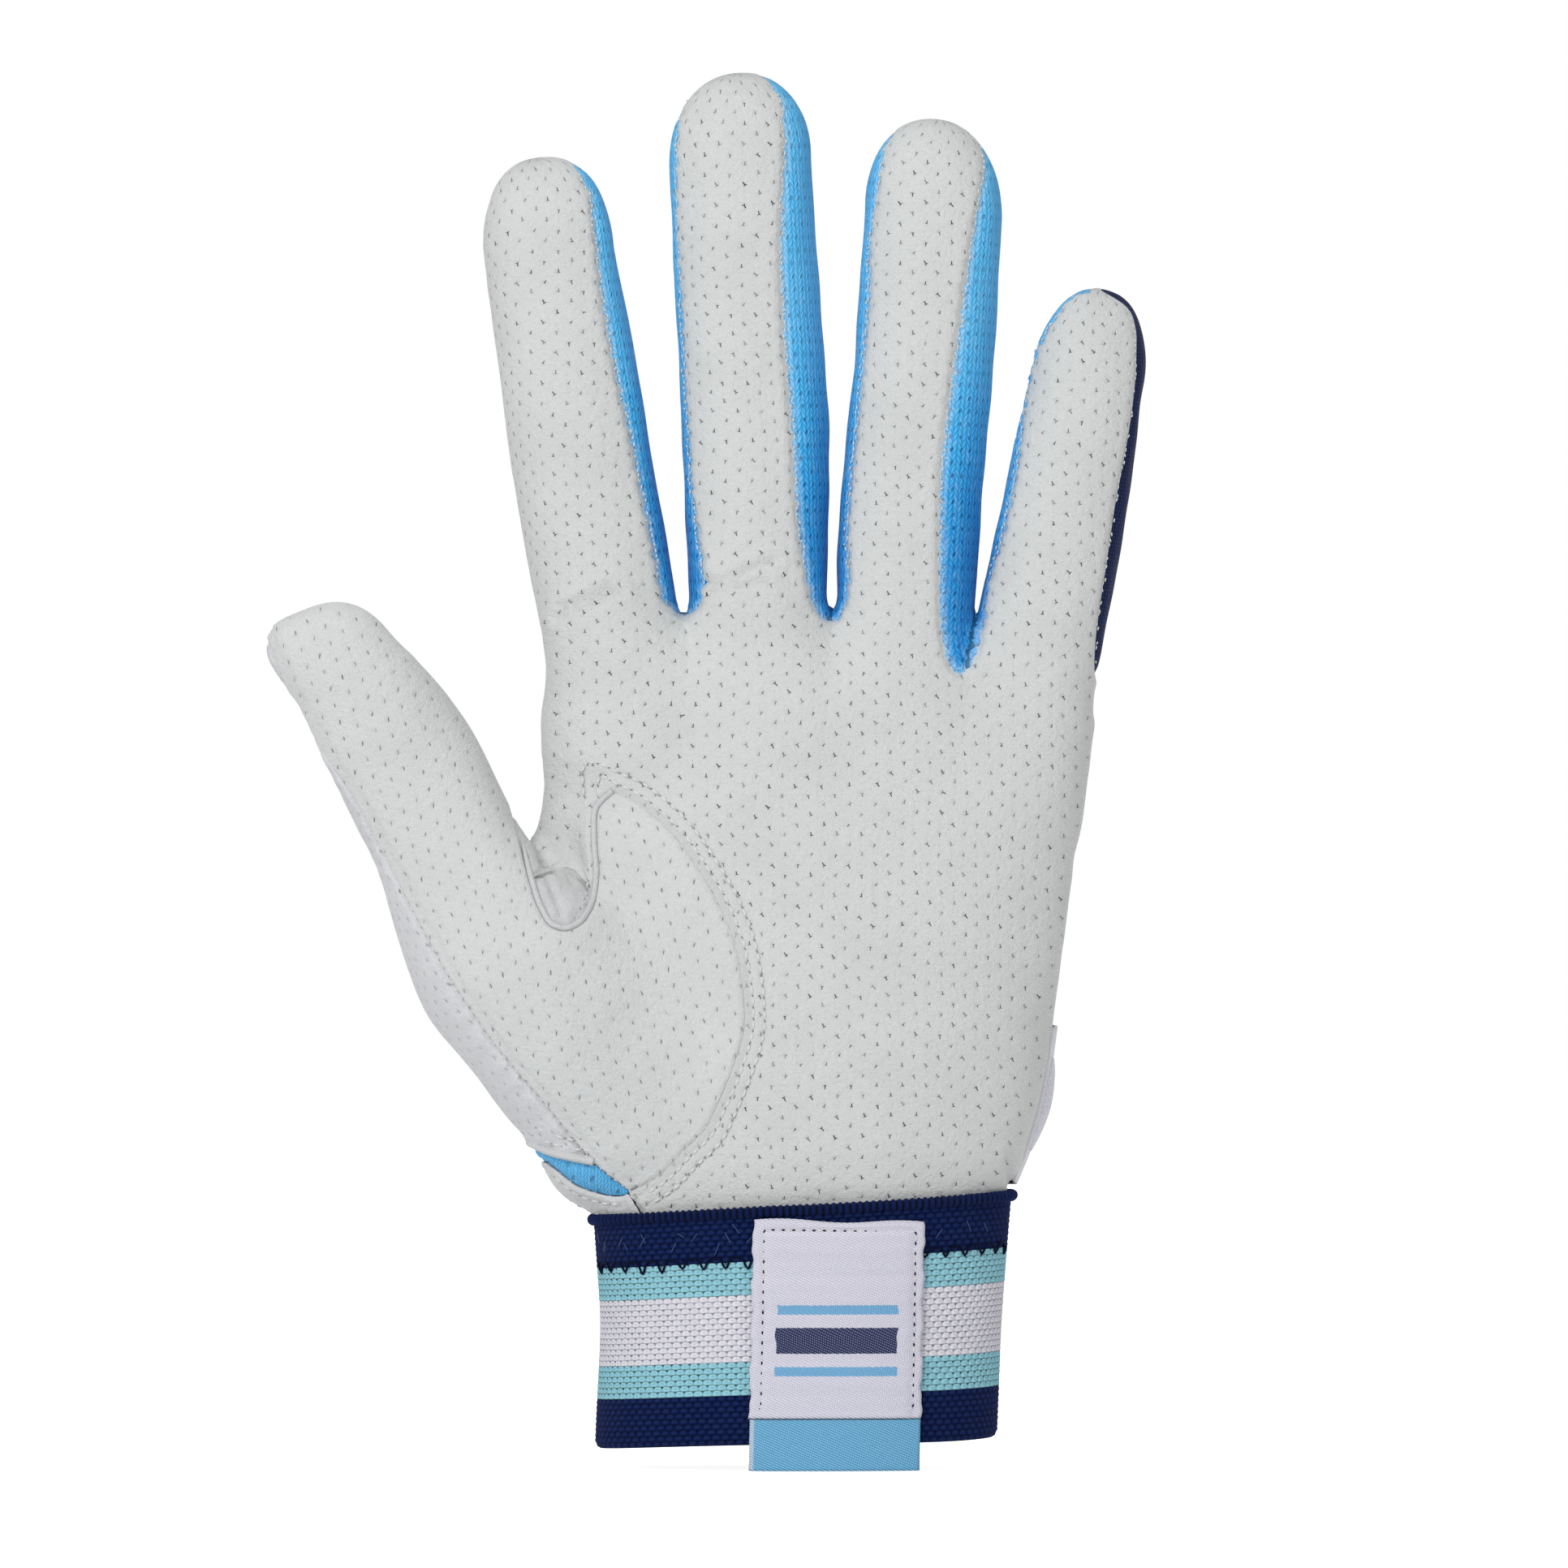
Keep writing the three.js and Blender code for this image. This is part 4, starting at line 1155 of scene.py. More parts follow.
class Graph:
    """Short ways to add nodes to one tree."""

    def __init__(self, tree: bpy.types.NodeTree) -> None:
        """Keeps the tree."""
        self.tree = tree

    def node(self, kind: str, **settings: object) -> bpy.types.Node:
        """Adds a node.

        Args:
            kind: Its type.
            settings: Its own properties.

        Returns:
            The new node.
        """
        made = self.tree.nodes.new(kind)
        for key, value in settings.items():
            setattr(made, key, value)
        return made

    def feed(self, socket: Socket, value: Value | Colour) -> None:
        """Links or sets one input.

        Args:
            socket: The input.
            value: What it takes.
        """
        if isinstance(value, Num):
            value = value.socket
        if isinstance(value, Socket):
            self.tree.links.new(value, socket)
        elif isinstance(value, tuple) and len(value) == 3 and socket.type == "RGBA":
            socket.default_value = (*value, 1.0)
        else:
            socket.default_value = value

    def math(self, kind: str, *values: Value, clamp: bool = False) -> Num:
        """A Math node's result.

        Args:
            kind: The node's operation.
            values: Its inputs.
            clamp: Keeps the result between 0 and 1.

        Returns:
            The result.
        """
        made = self.node("ShaderNodeMath", operation=kind, use_clamp=clamp)
        for socket, value in zip(made.inputs, values):
            self.feed(socket, value)
        return Num(self, made.outputs[0])

    def reach(self, x: Num, y: Num) -> Num:
        """Distance of a place from the middle."""
        return self.math("SQRT", x * x + y * y)

    def step(self, value: Value, low: float, high: float) -> Num:
        """Smooth step of a value, falling where low is above high.

        Args:
            value: The value.
            low: Where the step gives 0.
            high: Where it gives 1.

        Returns:
            The step.
        """
        made = self.node("ShaderNodeMapRange", interpolation_type="SMOOTHSTEP")
        ends = (high, low, 1.0, 0.0) if low > high else (low, high, 0.0, 1.0)
        self.feed(made.inputs["Value"], value)
        for name, end in zip(("From Min", "From Max", "To Min", "To Max"), ends):
            made.inputs[name].default_value = end
        return Num(self, made.outputs[0])

    def mix(self, factor: Value, a: Paint, b: Paint) -> Socket:
        """A blend of two colours.

        Args:
            factor: Share of the second.
            a: The first.
            b: The second.

        Returns:
            The blend.
        """
        made = self.node("ShaderNodeMix", data_type="RGBA")
        for number, value in ((0, factor), (6, a), (7, b)):
            self.feed(made.inputs[number], value)
        return made.outputs[2]

    def tint(self, colour: Paint, amount: Num, share: float, other: Paint) -> Socket:
        """A colour turned towards another one, by a share of an amount."""
        return self.mix(amount * share, colour, other)

    def split(self, vector: Socket) -> list[Num]:
        """A vector's three numbers.

        Args:
            vector: The vector.

        Returns:
            The numbers.
        """
        made = self.node("ShaderNodeSeparateXYZ")
        self.feed(made.inputs[0], vector)
        return [Num(self, socket) for socket in made.outputs]

    def join(self, x: Value, y: Value) -> Socket:
        """A vector of two numbers.

        Args:
            x: The first.
            y: The second.

        Returns:
            The vector, with 0 for the third.
        """
        made = self.node("ShaderNodeCombineXYZ")
        for socket, value in zip(made.inputs, (x, y)):
            self.feed(socket, value)
        return made.outputs[0]

    def noise(self, place: Socket, scale: float, detail: float) -> Num:
        """Soft noise between 0 and 1.

        Args:
            place: Where it is read.
            scale: How fine its lumps are.
            detail: How many finer layers it has.

        Returns:
            The noise.
        """
        made = self.node("ShaderNodeTexNoise")
        for name, value in (("Vector", place), ("Scale", scale), ("Detail", detail)):
            self.feed(made.inputs[name], value)
        return Num(self, made.outputs[0])

    def seam(self) -> list[Num]:
        """Distance from the seam and how far the punching is left out, kept in a flat map of their own."""
        return self.split(self.node("ShaderNodeUVMap", uv_map="seam").outputs["UV"])[:2]

    def cell(self, column: Num, row: Num) -> list[Num]:
        """Three steady random numbers for each cell.

        Args:
            column: The cell's whole-number place along its row.
            row: The row's number.

        Returns:
            The three numbers, from 0 to 1.
        """
        made = self.node("ShaderNodeTexWhiteNoise", noise_dimensions="2D")
        self.feed(made.inputs["Vector"], self.join(column, row))
        return self.split(made.outputs["Color"])

    def staggered(self, u: Num, v: Num, across: float, along: float) -> tuple[Num, Num, Num, Num]:
        """Cells in rows, with every other row moved by half a cell.

        Args:
            u: Place along the rows.
            v: Place across them.
            across: Width of a cell.
            along: Spacing of the rows.

        Returns:
            The cell's column and row, and the place from its middle.
        """
        row = (v / along + 0.5).floor()
        shift = abs(row) % 2.0 * 0.5
        column = (u / across - shift + 0.5).floor()
        return column, row, u - (column + shift) * across, v - row * along

    def dress(self, shader: bpy.types.Node, colour: Paint, height: Num, depth: float) -> None:
        """Gives a shader its colour and fine relief.

        Args:
            shader: The shader.
            colour: Its colour.
            height: Height of the relief.
            depth: Metres for a height of one.
        """
        bump = self.node("ShaderNodeBump")
        for name, value in (("Distance", depth), ("Strength", 1.0), ("Height", height)):
            self.feed(bump.inputs[name], value)
        self.feed(shader.inputs["Base Color"], colour)
        self.feed(shader.inputs["Normal"], bump.outputs[0])


class Effect:
    """A node group that several finishes share."""

    def __init__(self, name: str, outputs: Sequence[str]) -> None:
        """Starts a group that takes a place in millimetres.

        Args:
            name: The group's name.
            outputs: Names of its results.
        """
        self.tree = bpy.data.node_groups.new(name, "ShaderNodeTree")
        self.tree.interface.new_socket(name="Place", in_out="INPUT", socket_type="NodeSocketVector")
        for output in outputs:
            self.tree.interface.new_socket(name=output, in_out="OUTPUT", socket_type="NodeSocketFloat")
        self.graph = Graph(self.tree)
        self.place = self.graph.node("NodeGroupInput").outputs[0]
        self.end = self.graph.node("NodeGroupOutput")

    def give(self, **values: Num) -> None:
        """Links results to the group's outputs."""
        for name, value in values.items():
            self.graph.feed(self.end.inputs[name], value)

    def use(self, graph: Graph, place: Socket) -> dict[str, Num]:
        """Puts the group in a finish.

        Args:
            graph: The finish's graph.
            place: Places in millimetres.

        Returns:
            The group's results by name.
        """
        made = graph.node("ShaderNodeGroup", node_tree=self.tree)
        graph.feed(made.inputs[0], place)
        return {socket.name: Num(graph, socket) for socket in made.outputs}


class Slit(Enum):
    """How a punched hole in the leather lies open."""

    STAR = "three short cuts"
    LEAN = "one leaning cut"


@dataclass(frozen=True)
class Punch:
    """Rows of small punched holes."""

    name: str
    across: float
    along: float
    turn: float
    slit: Slit

    def effect(self) -> Effect:
        """Holes and the dents round them, in staggered rows.

        Returns:
            The node group.
        """
        made = Effect(self.name, ("Hole", "Dent"))
        g = made.graph
        x, y, _ = g.split(made.place)
        drift = g.noise(made.place, 0.035, 1.0) - 0.5
        x, y = x + drift * 5.0, y + drift * 3.0
        c, s = math.cos(math.radians(self.turn)), math.sin(math.radians(self.turn))
        column, row, dx, dy = g.staggered(x * c + y * s, y * c - x * s, self.across, self.along)
        first, second, third = g.cell(column, row)
        dx, dy = dx + (first - 0.5) * 0.24, dy + (second - 0.5) * 0.2
        reach = g.reach(dx, dy)
        size = 0.72 + third * 0.5
        if self.slit is Slit.STAR:
            toward = g.math("ARCTAN2", dy, dx) - (0.85 + third * 1.5)
            toward = toward + g.step(first, 0.6, 0.61) * math.pi
            lobe = g.math("POWER", abs((toward * 1.5).cos()), 9.0)
            long_arm = 0.58 + toward.cos() * 0.42
            gap = reach - size * (0.085 + lobe * long_arm * 0.42)
        else:
            lean = 1.95 + (first - 0.5) * 0.7
            cl, sl = lean.cos(), lean.sin()
            gap = (g.reach((dx * cl + dy * sl) / 0.30, (dy * cl - dx * sl) / 0.075) - size) * 0.12
        made.give(Hole=g.step(gap, 0.08, -0.05) * (0.5 + second * 0.5), Dent=g.step(reach, 0.85, 0.0))
        return made


def grain_effect() -> Effect:
    """Fine pores and soft mottling of leather.

    Returns:
        The node group.
    """
    made = Effect("leather_grain", ("Fine", "Mottle", "Crease"))
    g = made.graph
    pores = g.node("ShaderNodeTexVoronoi", feature="SMOOTH_F1")
    g.feed(pores.inputs["Vector"], made.place)
    pores.inputs["Scale"].default_value = 1.7
    fine = Num(g, pores.outputs["Distance"]) * 0.7 + g.noise(made.place, 5.0, 3.0)
    made.give(Fine=fine, Mottle=g.noise(made.place, 0.07, 3.0), Crease=g.noise(made.place, 0.55, 4.0))
    return made


@dataclass(frozen=True)
class MeshKnit:
    """Open warp knit with leaning loops and rows of holes."""

    name: str
    wale: float
    course: float
    hole: float
    wide: float
    tall: float

    def effect(self) -> Effect:
        """Loop height, hole mask and a per-loop shade.

        Returns:
            The node group.
        """
        made = Effect(self.name, ("Loop", "Hole", "Shade"))
        g = made.graph
        x, y, _ = g.split(made.place)
        column = (x / self.wale).floor()
        odd = abs(column) % 2.0
        du = x / self.wale - column - 0.5
        run = y / self.course + du * (0.9 - odd * 1.8) + odd * 0.5
        row = run.floor()
        dv = run - row - 0.5
        loop = g.math("MULTIPLY", (du * 2.9).cos(), (dv * 2.7).cos(), clamp=True)
        tone, _, _ = g.cell(column, row)
        hole_column, hole_row, hx, hy = g.staggered(x - y * 0.3, y, self.wide, self.tall)
        far = g.reach(hx / (self.hole * 0.62), hy / self.hole)
        some, _, _ = g.cell(hole_column, hole_row)
        made.give(Loop=loop, Hole=g.step(far, 1.3, 0.7) * (0.6 + some * 0.4), Shade=tone)
        return made


@dataclass(frozen=True)
class Finish:
    """A finish's plain numbers."""

    name: str
    colour: Colour
    rough: float
    sheen: float = 0.0
    specular: float = 0.5

    def start(self) -> tuple[Material, Graph, bpy.types.Node, Socket]:
        """A material with its shader set.

        Returns:
            The material, its graph, its shader and places on the flat map in millimetres.
        """
        made = bpy.data.materials.new(self.name)
        made.use_nodes = True
        shader = made.node_tree.nodes["Principled BSDF"]
        shader.inputs["Base Color"].default_value = (*self.colour, 1.0)
        shader.inputs["Roughness"].default_value = self.rough
        shader.inputs["Specular IOR Level"].default_value = self.specular
        shader.inputs["Sheen Weight"].default_value = self.sheen
        shader.inputs["Sheen Roughness"].default_value = 0.4
        graph = Graph(made.node_tree)
        flat = graph.node("ShaderNodeUVMap", uv_map="flat")
        scaled = graph.node("ShaderNodeVectorMath", operation="SCALE")
        graph.feed(scaled.inputs[0], flat.outputs[0])
        scaled.inputs["Scale"].default_value = MAP_MM
        return made, graph, shader, scaled.outputs[0]


class Wardrobe:
    """Every finish on the glove."""

    def __init__(self) -> None:
        """Makes the shared effects, then the finishes."""
        self.grain = grain_effect()
        palm_holes = Punch("palm_punching", 4.15, 1.63, 0.0, Slit.STAR).effect()
        self.leather = self.make_leather(
            Finish("palm_leather", shade(215, 217, 216), 0.62, 0.06, 0.35), palm_holes, 1.0, True)
        thumb_holes = Punch("thumb_punching", 3.0, 2.35, -14.0, Slit.LEAN).effect()
        self.thumb_leather = self.make_leather(
            Finish("thumb_leather", shade(216, 218, 218), 0.62, 0.06, 0.35), thumb_holes, 0.72)
        self.side_leather = self.make_leather(
            Finish("side_leather", shade(219, 220, 223), 0.64, 0.06, 0.35), thumb_holes, 0.5)
        knit = MeshKnit("mesh_loops", 0.86, 1.06, 0.34, 1.72, 2.12).effect()
        self.mesh = self.make_mesh(Finish("mesh_knit", shade(86, 206, 255), 0.6, 0.03, 0.12), knit)
        window = MeshKnit("window_loops", 0.55, 0.8, 0.5, 3.2, 2.3).effect()
        self.window = self.make_mesh(Finish("window_knit", shade(110, 198, 244), 0.6, 0.03, 0.2), window)
        self.navy = self.make_rib(Finish("navy_knit", shade(12, 24, 64), 0.7, 0.03, 0.12))
        self.cuff = self.make_cuff(Finish("cuff_knit", shade(246, 244, 252), 0.78, 0.01, 0.05))
        self.edge = self.make_thread(Finish("edge_thread", shade(12, 30, 80), 0.65, 0.02, 0.08), 1.0, 1.1515)
        self.label = self.make_label(Finish("label_twill", shade(232, 230, 242), 0.6, 0.2, 0.3))
        self.tail = self.make_tail(Finish("tail_twill", shade(142, 208, 241), 0.6, 0.05, 0.25))
        self.hem = self.make_leather(Finish("hem_leather", shade(211, 212, 213), 0.6, 0.06, 0.35))
        self.strap = self.make_leather(Finish("strap_laminate", shade(228, 228, 234), 0.5, 0.1, 0.4))
        self.tab = self.make_thread(Finish("tab_rubber", shade(226, 225, 236), 0.5, 0.1), 0.4)
        self.grip = self.make_nap(Finish("hook_and_loop", shade(205, 206, 214), 0.8, 0.4, 0.2))
        self.white = self.make_thread(Finish("white_thread", shade(236, 236, 236), 0.55, 0.2), 1.0)
        # Needle holes, and the painted shadow cord in the web's gap.
        self.dark = self.make_thread(Finish("needle_hole_and_gap_shadow", shade(152, 155, 155), 0.9), 0.2)
        self.ink = self.make_thread(Finish("dark_thread", shade(8, 18, 44), 0.6, 0.0, 0.05), 1.0)
        self.pale = self.make_thread(Finish("pale_thread", shade(84, 102, 146), 0.6, 0.0, 0.1), 1.0)

    def make_leather(self, finish: Finish, punch: Effect | None = None, strength: float = 0.0,
                     lap_shadow: bool = False) -> Material:
        """Pale matt leather.

        Args:
            finish: Its plain numbers.
            punch: Its punched holes, where it has them.
            strength: How dark the holes are.
            lap_shadow: Adds a band of painted shadow beside a lapped seam.

        Returns:
            The material.
        """
        made, g, shader, place = finish.start()
        grain = self.grain.use(g, place)
        deep = tuple(c * 0.86 for c in finish.colour)
        colour = g.tint(finish.colour, g.step(grain["Mottle"], 0.35, 0.75), 0.35, deep)
        colour = g.tint(colour, g.step(grain["Fine"], 0.95, 0.45), 0.3, deep)
        height = grain["Fine"] * 0.42 + grain["Crease"] * 0.30
        if punch is not None:
            holes = punch.use(g, place)
            seam, unpunched = g.seam()
            shown = g.math("SUBTRACT", 1.0, unpunched, clamp=True)
            dent, hole = holes["Dent"] * shown, holes["Hole"] * shown
            colour = g.tint(colour, dent, 0.10, shade(150, 155, 155))
            colour = g.tint(colour, hole, strength, shade(40, 43, 44))
            height = height - dent * 0.2 - hole * 0.3
            if lap_shadow:
                # Painted shadow of the lapped edge: a darker band beside the seam.
                colour = g.tint(colour, g.step(seam, 1.35, 1.1), 0.7, deep)
        g.feed(shader.inputs["Roughness"], finish.rough - 0.08 + grain["Crease"] * 0.16)
        g.dress(shader, colour, height, 0.0005)
        return made

    def make_mesh(self, finish: Finish, knit: Effect) -> Material:
        """Bright open knit with painted shade in the crotch and off its front seams, painted light at the
        tips, paler by its seams.

        Args:
            finish: Its plain numbers.
            knit: Its loops and holes.

        Returns:
            The material.
        """
        made, g, shader, place = finish.start()
        loops = knit.use(g, place)
        colour = g.tint(shade(30, 146, 226), loops["Loop"], 0.9, finish.colour)
        colour = g.tint(colour, g.step(loops["Shade"], 0.55, 1.0), 0.35, shade(150, 205, 250))
        colour = g.tint(colour, loops["Hole"], 0.8, shade(8, 60, 128))
        seam, _ = g.seam()
        _, along, _ = g.split(place)
        # Painted shade more than 1.5 mm from a front seam and low in the crotch, then painted light towards
        # the tips.
        colour = g.tint(colour, g.step(seam, 1.5, 6.5), 0.4, shade(10, 104, 196))
        colour = g.tint(colour, g.step(along, 30.0, 4.0), 0.42, shade(0, 98, 188))
        colour = g.tint(colour, g.step(along, 18.0, 52.0), 0.42, shade(124, 212, 255))
        tuft = g.step(g.noise(place, 2.6, 3.0), 0.35, 0.75)
        colour = g.mix(g.step(seam, 1.5, 0.4) * (0.25 + tuft * 0.7), colour, shade(176, 220, 252))
        height = loops["Loop"] - loops["Hole"] * 1.2 + g.noise(place, 4.0, 3.0) * 0.4
        g.dress(shader, colour, height, 0.00022)
        return made

    def make_rib(self, finish: Finish) -> Material:
        """Dark fine rib knit.

        Args:
            finish: Its plain numbers.

        Returns:
            The material.
        """
        made, g, shader, place = finish.start()
        x, y, _ = g.split(place)
        rib = (x * (2 * math.pi / 0.53)).sin()
        loop = (y * (2 * math.pi / 0.62) + rib * 1.4).sin()
        height = rib * 0.6 + loop * 0.4
        lit = g.step(height + g.noise(place, 1.3, 3.0) * 0.8, 0.2, 1.4)
        g.dress(shader, g.mix(lit, shade(12, 22, 56), shade(38, 56, 112)), height, 0.00012)
        return made

    def make_cuff(self, finish: Finish) -> Material:
        """Striped knit whose flat map counts loops round and rows up.

        Args:
            finish: Its plain numbers.

        Returns:
            The material.
        """
        made, g, shader, place = finish.start()
        x, y, _ = g.split(place)
        row = y.floor()
        run = x + row % 2.0 * 0.5
        column = run.floor()
        du = run - column - 0.5
        dv = y - row - 0.5 - (0.25 - du * du) * 0.9 + 0.13
        navy, aqua, white = shade(8, 26, 78), shade(163, 224, 238), finish.colour
        colour = navy
        for start, stripe in ((8.5, aqua), (14.5, white), (26.5, aqua), (32.5, navy)):
            colour = g.mix(g.step(row, start - 0.1, start + 0.1), colour, stripe)
        first, second, _ = g.cell(column, row)
        colour = g.tint(colour, first, 0.06, shade(60, 70, 100))
        # Painted highlight on the middle of each loop.
        loop_highlight = (du * 3.1).cos() * (dv * 3.1).cos()
        colour = g.tint(colour, g.step(loop_highlight, 0.2, 1.0), 0.05, shade(120, 150, 200))
        # Painted shade between the loops, over the outer part of each loop and in a dot at its middle; paler
        # in the white band.
        knob = du * du + dv * dv
        gap = g.step(knob, 0.24, 0.34) * (0.6 + second * 0.4)
        seam = g.math("MAXIMUM", g.step(knob, 0.15, 0.25) * 0.26, g.step(knob, 0.03, 0.008) * 0.22)
        plain = g.step(row, 14.4, 14.6) * g.step(row, 26.6, 26.4)
        shadow = g.mix(plain, shade(3, 9, 22), shade(100, 102, 128))
        colour = g.mix(g.math("MAXIMUM", gap, seam), colour, shadow)
        strand = ((du + dv * 0.8) * 26.0).sin()
        g.dress(shader, colour, strand * 0.4 + g.noise(place, 3.0, 3.0), 0.00010)
        return made

    def make_thread(self, finish: Finish, twist: float, bead: float = 0.0) -> Material:
        """Sewing thread or a plain smooth part.

        Args:
            finish: Its plain numbers.
            twist: How strongly its twist shows.
            bead: Spacing of its wraps, with painted shade between them, or 0 for none.

        Returns:
            The material.
        """
        made, g, shader, place = finish.start()
        x, y, _ = g.split(place)
        turn = ((x + y) * (2 * math.pi / 0.28)).sin()
        rough = turn * (0.4 * twist) + g.noise(place, 2.0, 3.0)
        deep = tuple(c * 0.72 for c in finish.colour)
        colour = g.mix(g.step(rough, 0.75, 0.2), finish.colour, deep)
        if bead:
            # Painted shade in the dips between the wraps.
            wrap = (x * (2 * math.pi / bead)).cos()
            colour = g.tint(colour, g.step(wrap, -0.1, -0.85), 0.85, shade(3, 7, 20))
        g.dress(shader, colour, rough, 0.00006)
        return made

    def twill(self, g: Graph, place: Socket) -> Num:
        """Leaning ridges of a woven ribbon.

        Args:
            g: The finish's graph.
            place: Places in millimetres.

        Returns:
            Height of the ridges.
        """
        x, y, _ = g.split(place)
        ridge = ((x * 0.45 + y) * (2 * math.pi / 0.42)).sin()
        pick = ((x - y * 0.2) * (2 * math.pi / 0.36)).sin()
        return ridge + pick * 0.35

    def make_label(self, finish: Finish) -> Material:
        """Pale twill with three plain woven bars.

        Args:
            finish: Its plain numbers.

        Returns:
            The material.
        """
        made, g, shader, place = finish.start()
        x, y, _ = g.split(place)
        weave = self.twill(g, place)
        colour = g.mix(g.step(weave, 0.6, -1.2), finish.colour, shade(208, 206, 224))
        within = g.step(abs(x), 9.75, 9.6)
        uneven = y + (g.noise(place, 2.2, 1.0) - 0.5) * 0.25
        blue, dark = shade(112, 178, 222), shade(22, 34, 80)
        for centre, half, ink in ((22.6, 0.75, blue), (17.6, 2.1, dark), (12.6, 0.75, blue)):
            bar = g.step(abs(uneven - centre), half + 0.06, half - 0.06) * within
            colour = g.mix(bar * g.step(weave, -1.7, -0.6), colour, ink)
        g.dress(shader, colour, weave, 0.00006)
        return made

    def make_tail(self, finish: Finish) -> Material:
        """Light-blue twill with a pale woven border on its left.

        Args:
            finish: Its plain numbers.

        Returns:
            The material.
        """
        made, g, shader, place = finish.start()
        x, _, _ = g.split(place)
        weave = self.twill(g, place)
        colour = g.mix(g.step(weave, 0.4, -1.2), finish.colour, shade(72, 150, 205))
        colour = g.mix(g.step(x, -12.7, -13.1), colour, shade(200, 220, 240))
        g.dress(shader, colour, weave, 0.00008)
        return made

    def make_nap(self, finish: Finish) -> Material:
        """Short loops and hooks.

        Args:
            finish: Its plain numbers.

        Returns:
            The material.
        """
        made, g, shader, place = finish.start()
        x, y, _ = g.split(place)
        height = g.noise(place, 2.4, 4.0) + (x * 4.6).sin() * (y * 4.6).sin() * 0.4
        colour = g.mix(g.step(height, 0.9, 0.2), finish.colour, shade(150, 152, 164))
        g.dress(shader, colour, height, 0.0003)
        return made


def deselect() -> None:
    """Leaves nothing selected."""
    if bpy.context.object and bpy.context.object.mode != "OBJECT":
        bpy.ops.object.mode_set(mode="OBJECT")
    bpy.ops.object.select_all(action="DESELECT")


def points_of(made: bpy.types.Object) -> Array:
    """A mesh's points in millimetres.

    Args:
        made: The object.

    Returns:
        Its points.
    """
    out = np.empty(len(made.data.vertices) * 3)
    made.data.vertices.foreach_get("co", out)
    return out.reshape(-1, 3) / MM


def place_points(made: bpy.types.Object, points: Array) -> None:
    """Puts a mesh's points at places in millimetres."""
    made.data.vertices.foreach_set("co", (points * MM).ravel())
    made.data.update()


def finish_modifiers(made: bpy.types.Object) -> None:
    """Applies a piece's modifiers in order.

    Args:
        made: The piece, smooth afterwards.
    """
    deselect()
    bpy.context.view_layer.objects.active = made
    made.select_set(True)
    for modifier in list(made.modifiers):
        bpy.ops.object.modifier_apply(modifier=modifier.name)
    bpy.ops.object.shade_smooth()
    deselect()


def set_map(made: bpy.types.Object, flat: Array) -> None:
    """Gives a mesh its flat map, one place in millimetres for each point.

    Args:
        made: The object.
        flat: The places.
    """
    mesh = made.data
    layer = mesh.uv_layers.get("flat") or mesh.uv_layers.new(name="flat")
    index = np.empty(len(mesh.loops), int)
    mesh.loops.foreach_get("vertex_index", index)
    layer.data.foreach_set("uv", (flat[index] / MAP_MM).ravel())


def grid_sheet(name: str, columns: int, rows: int) -> tuple[bpy.types.Object, Array, Array]:
    """A flat grid, to be laid on the glove.

    Args:
        name: The piece's name.
        columns: Faces across.
        rows: Faces up.

    Returns:
        The grid and the shares across and up of its points.
    """
    deselect()
    bpy.ops.mesh.primitive_grid_add(x_subdivisions=columns, y_subdivisions=rows, size=1.0)
    made = bpy.context.object
    made.name = name
    flat = points_of(made) * MM
    return made, flat[:, 0] + 0.5, flat[:, 1] + 0.5


def thicken(made: bpy.types.Object, thick: float, finish: Material, edge: float = 0.0) -> None:
    """Closes a laid sheet and gives it its finish.

    Args:
        made: The sheet.
        thick: Its thickness.
        finish: Its finish.
        edge: Width of its rounded edges, or 0 for none.
    """
    solid = made.modifiers.new("thickness", "SOLIDIFY")
    solid.thickness, solid.offset = thick * MM, 1.0
    if edge:
        bevel = made.modifiers.new("edge", "BEVEL")
        bevel.width, bevel.segments = edge * MM, 2
        bevel.limit_method, bevel.angle_limit = "ANGLE", 0.9
    finish_modifiers(made)
    made.data.materials.clear()
    made.data.materials.append(finish)


def mesh_from(name: str, parts: Sequence[Bits], finishes: Sequence[Material]) -> bpy.types.Object:
    """One object of several bits.

    Args:
        name: The piece's name.
        parts: Its bits, in millimetres.
        finishes: The finishes that the bits count.

    Returns:
        The new object, smooth by the bits' own normals.
    """
    start, tris = 0, []
    for part in parts:
        tris.append(part.tri + start)
        start += len(part.co)
    co = np.vstack([p.co for p in parts]) * MM
    no, uv = np.vstack([p.no for p in parts]), np.vstack([p.uv for p in parts]) / MAP_MM
    tri = np.vstack(tris).astype(np.int32)
    slots = np.concatenate([np.full(len(p.tri), p.finish, np.int32) for p in parts])
    mesh = bpy.data.meshes.new(name)
    mesh.vertices.add(len(co))
    mesh.vertices.foreach_set("co", co.ravel())
    mesh.loops.add(tri.size)
    mesh.loops.foreach_set("vertex_index", tri.ravel())
    mesh.polygons.add(len(tri))
    mesh.polygons.foreach_set("loop_start", np.arange(0, tri.size, 3, dtype=np.int32))
    mesh.polygons.foreach_set("material_index", slots)
    mesh.update(calc_edges=True)
    layer = mesh.uv_layers.new(name="flat")
    layer.data.foreach_set("uv", uv[tri.ravel()].ravel())
    mesh.polygons.foreach_set("use_smooth", np.ones(len(tri), bool))
    mesh.normals_split_custom_set(no[tri.ravel()])
    made = bpy.data.objects.new(name, mesh)
    bpy.context.collection.objects.link(made)
    for finish in finishes:
        mesh.materials.append(finish)
    return made


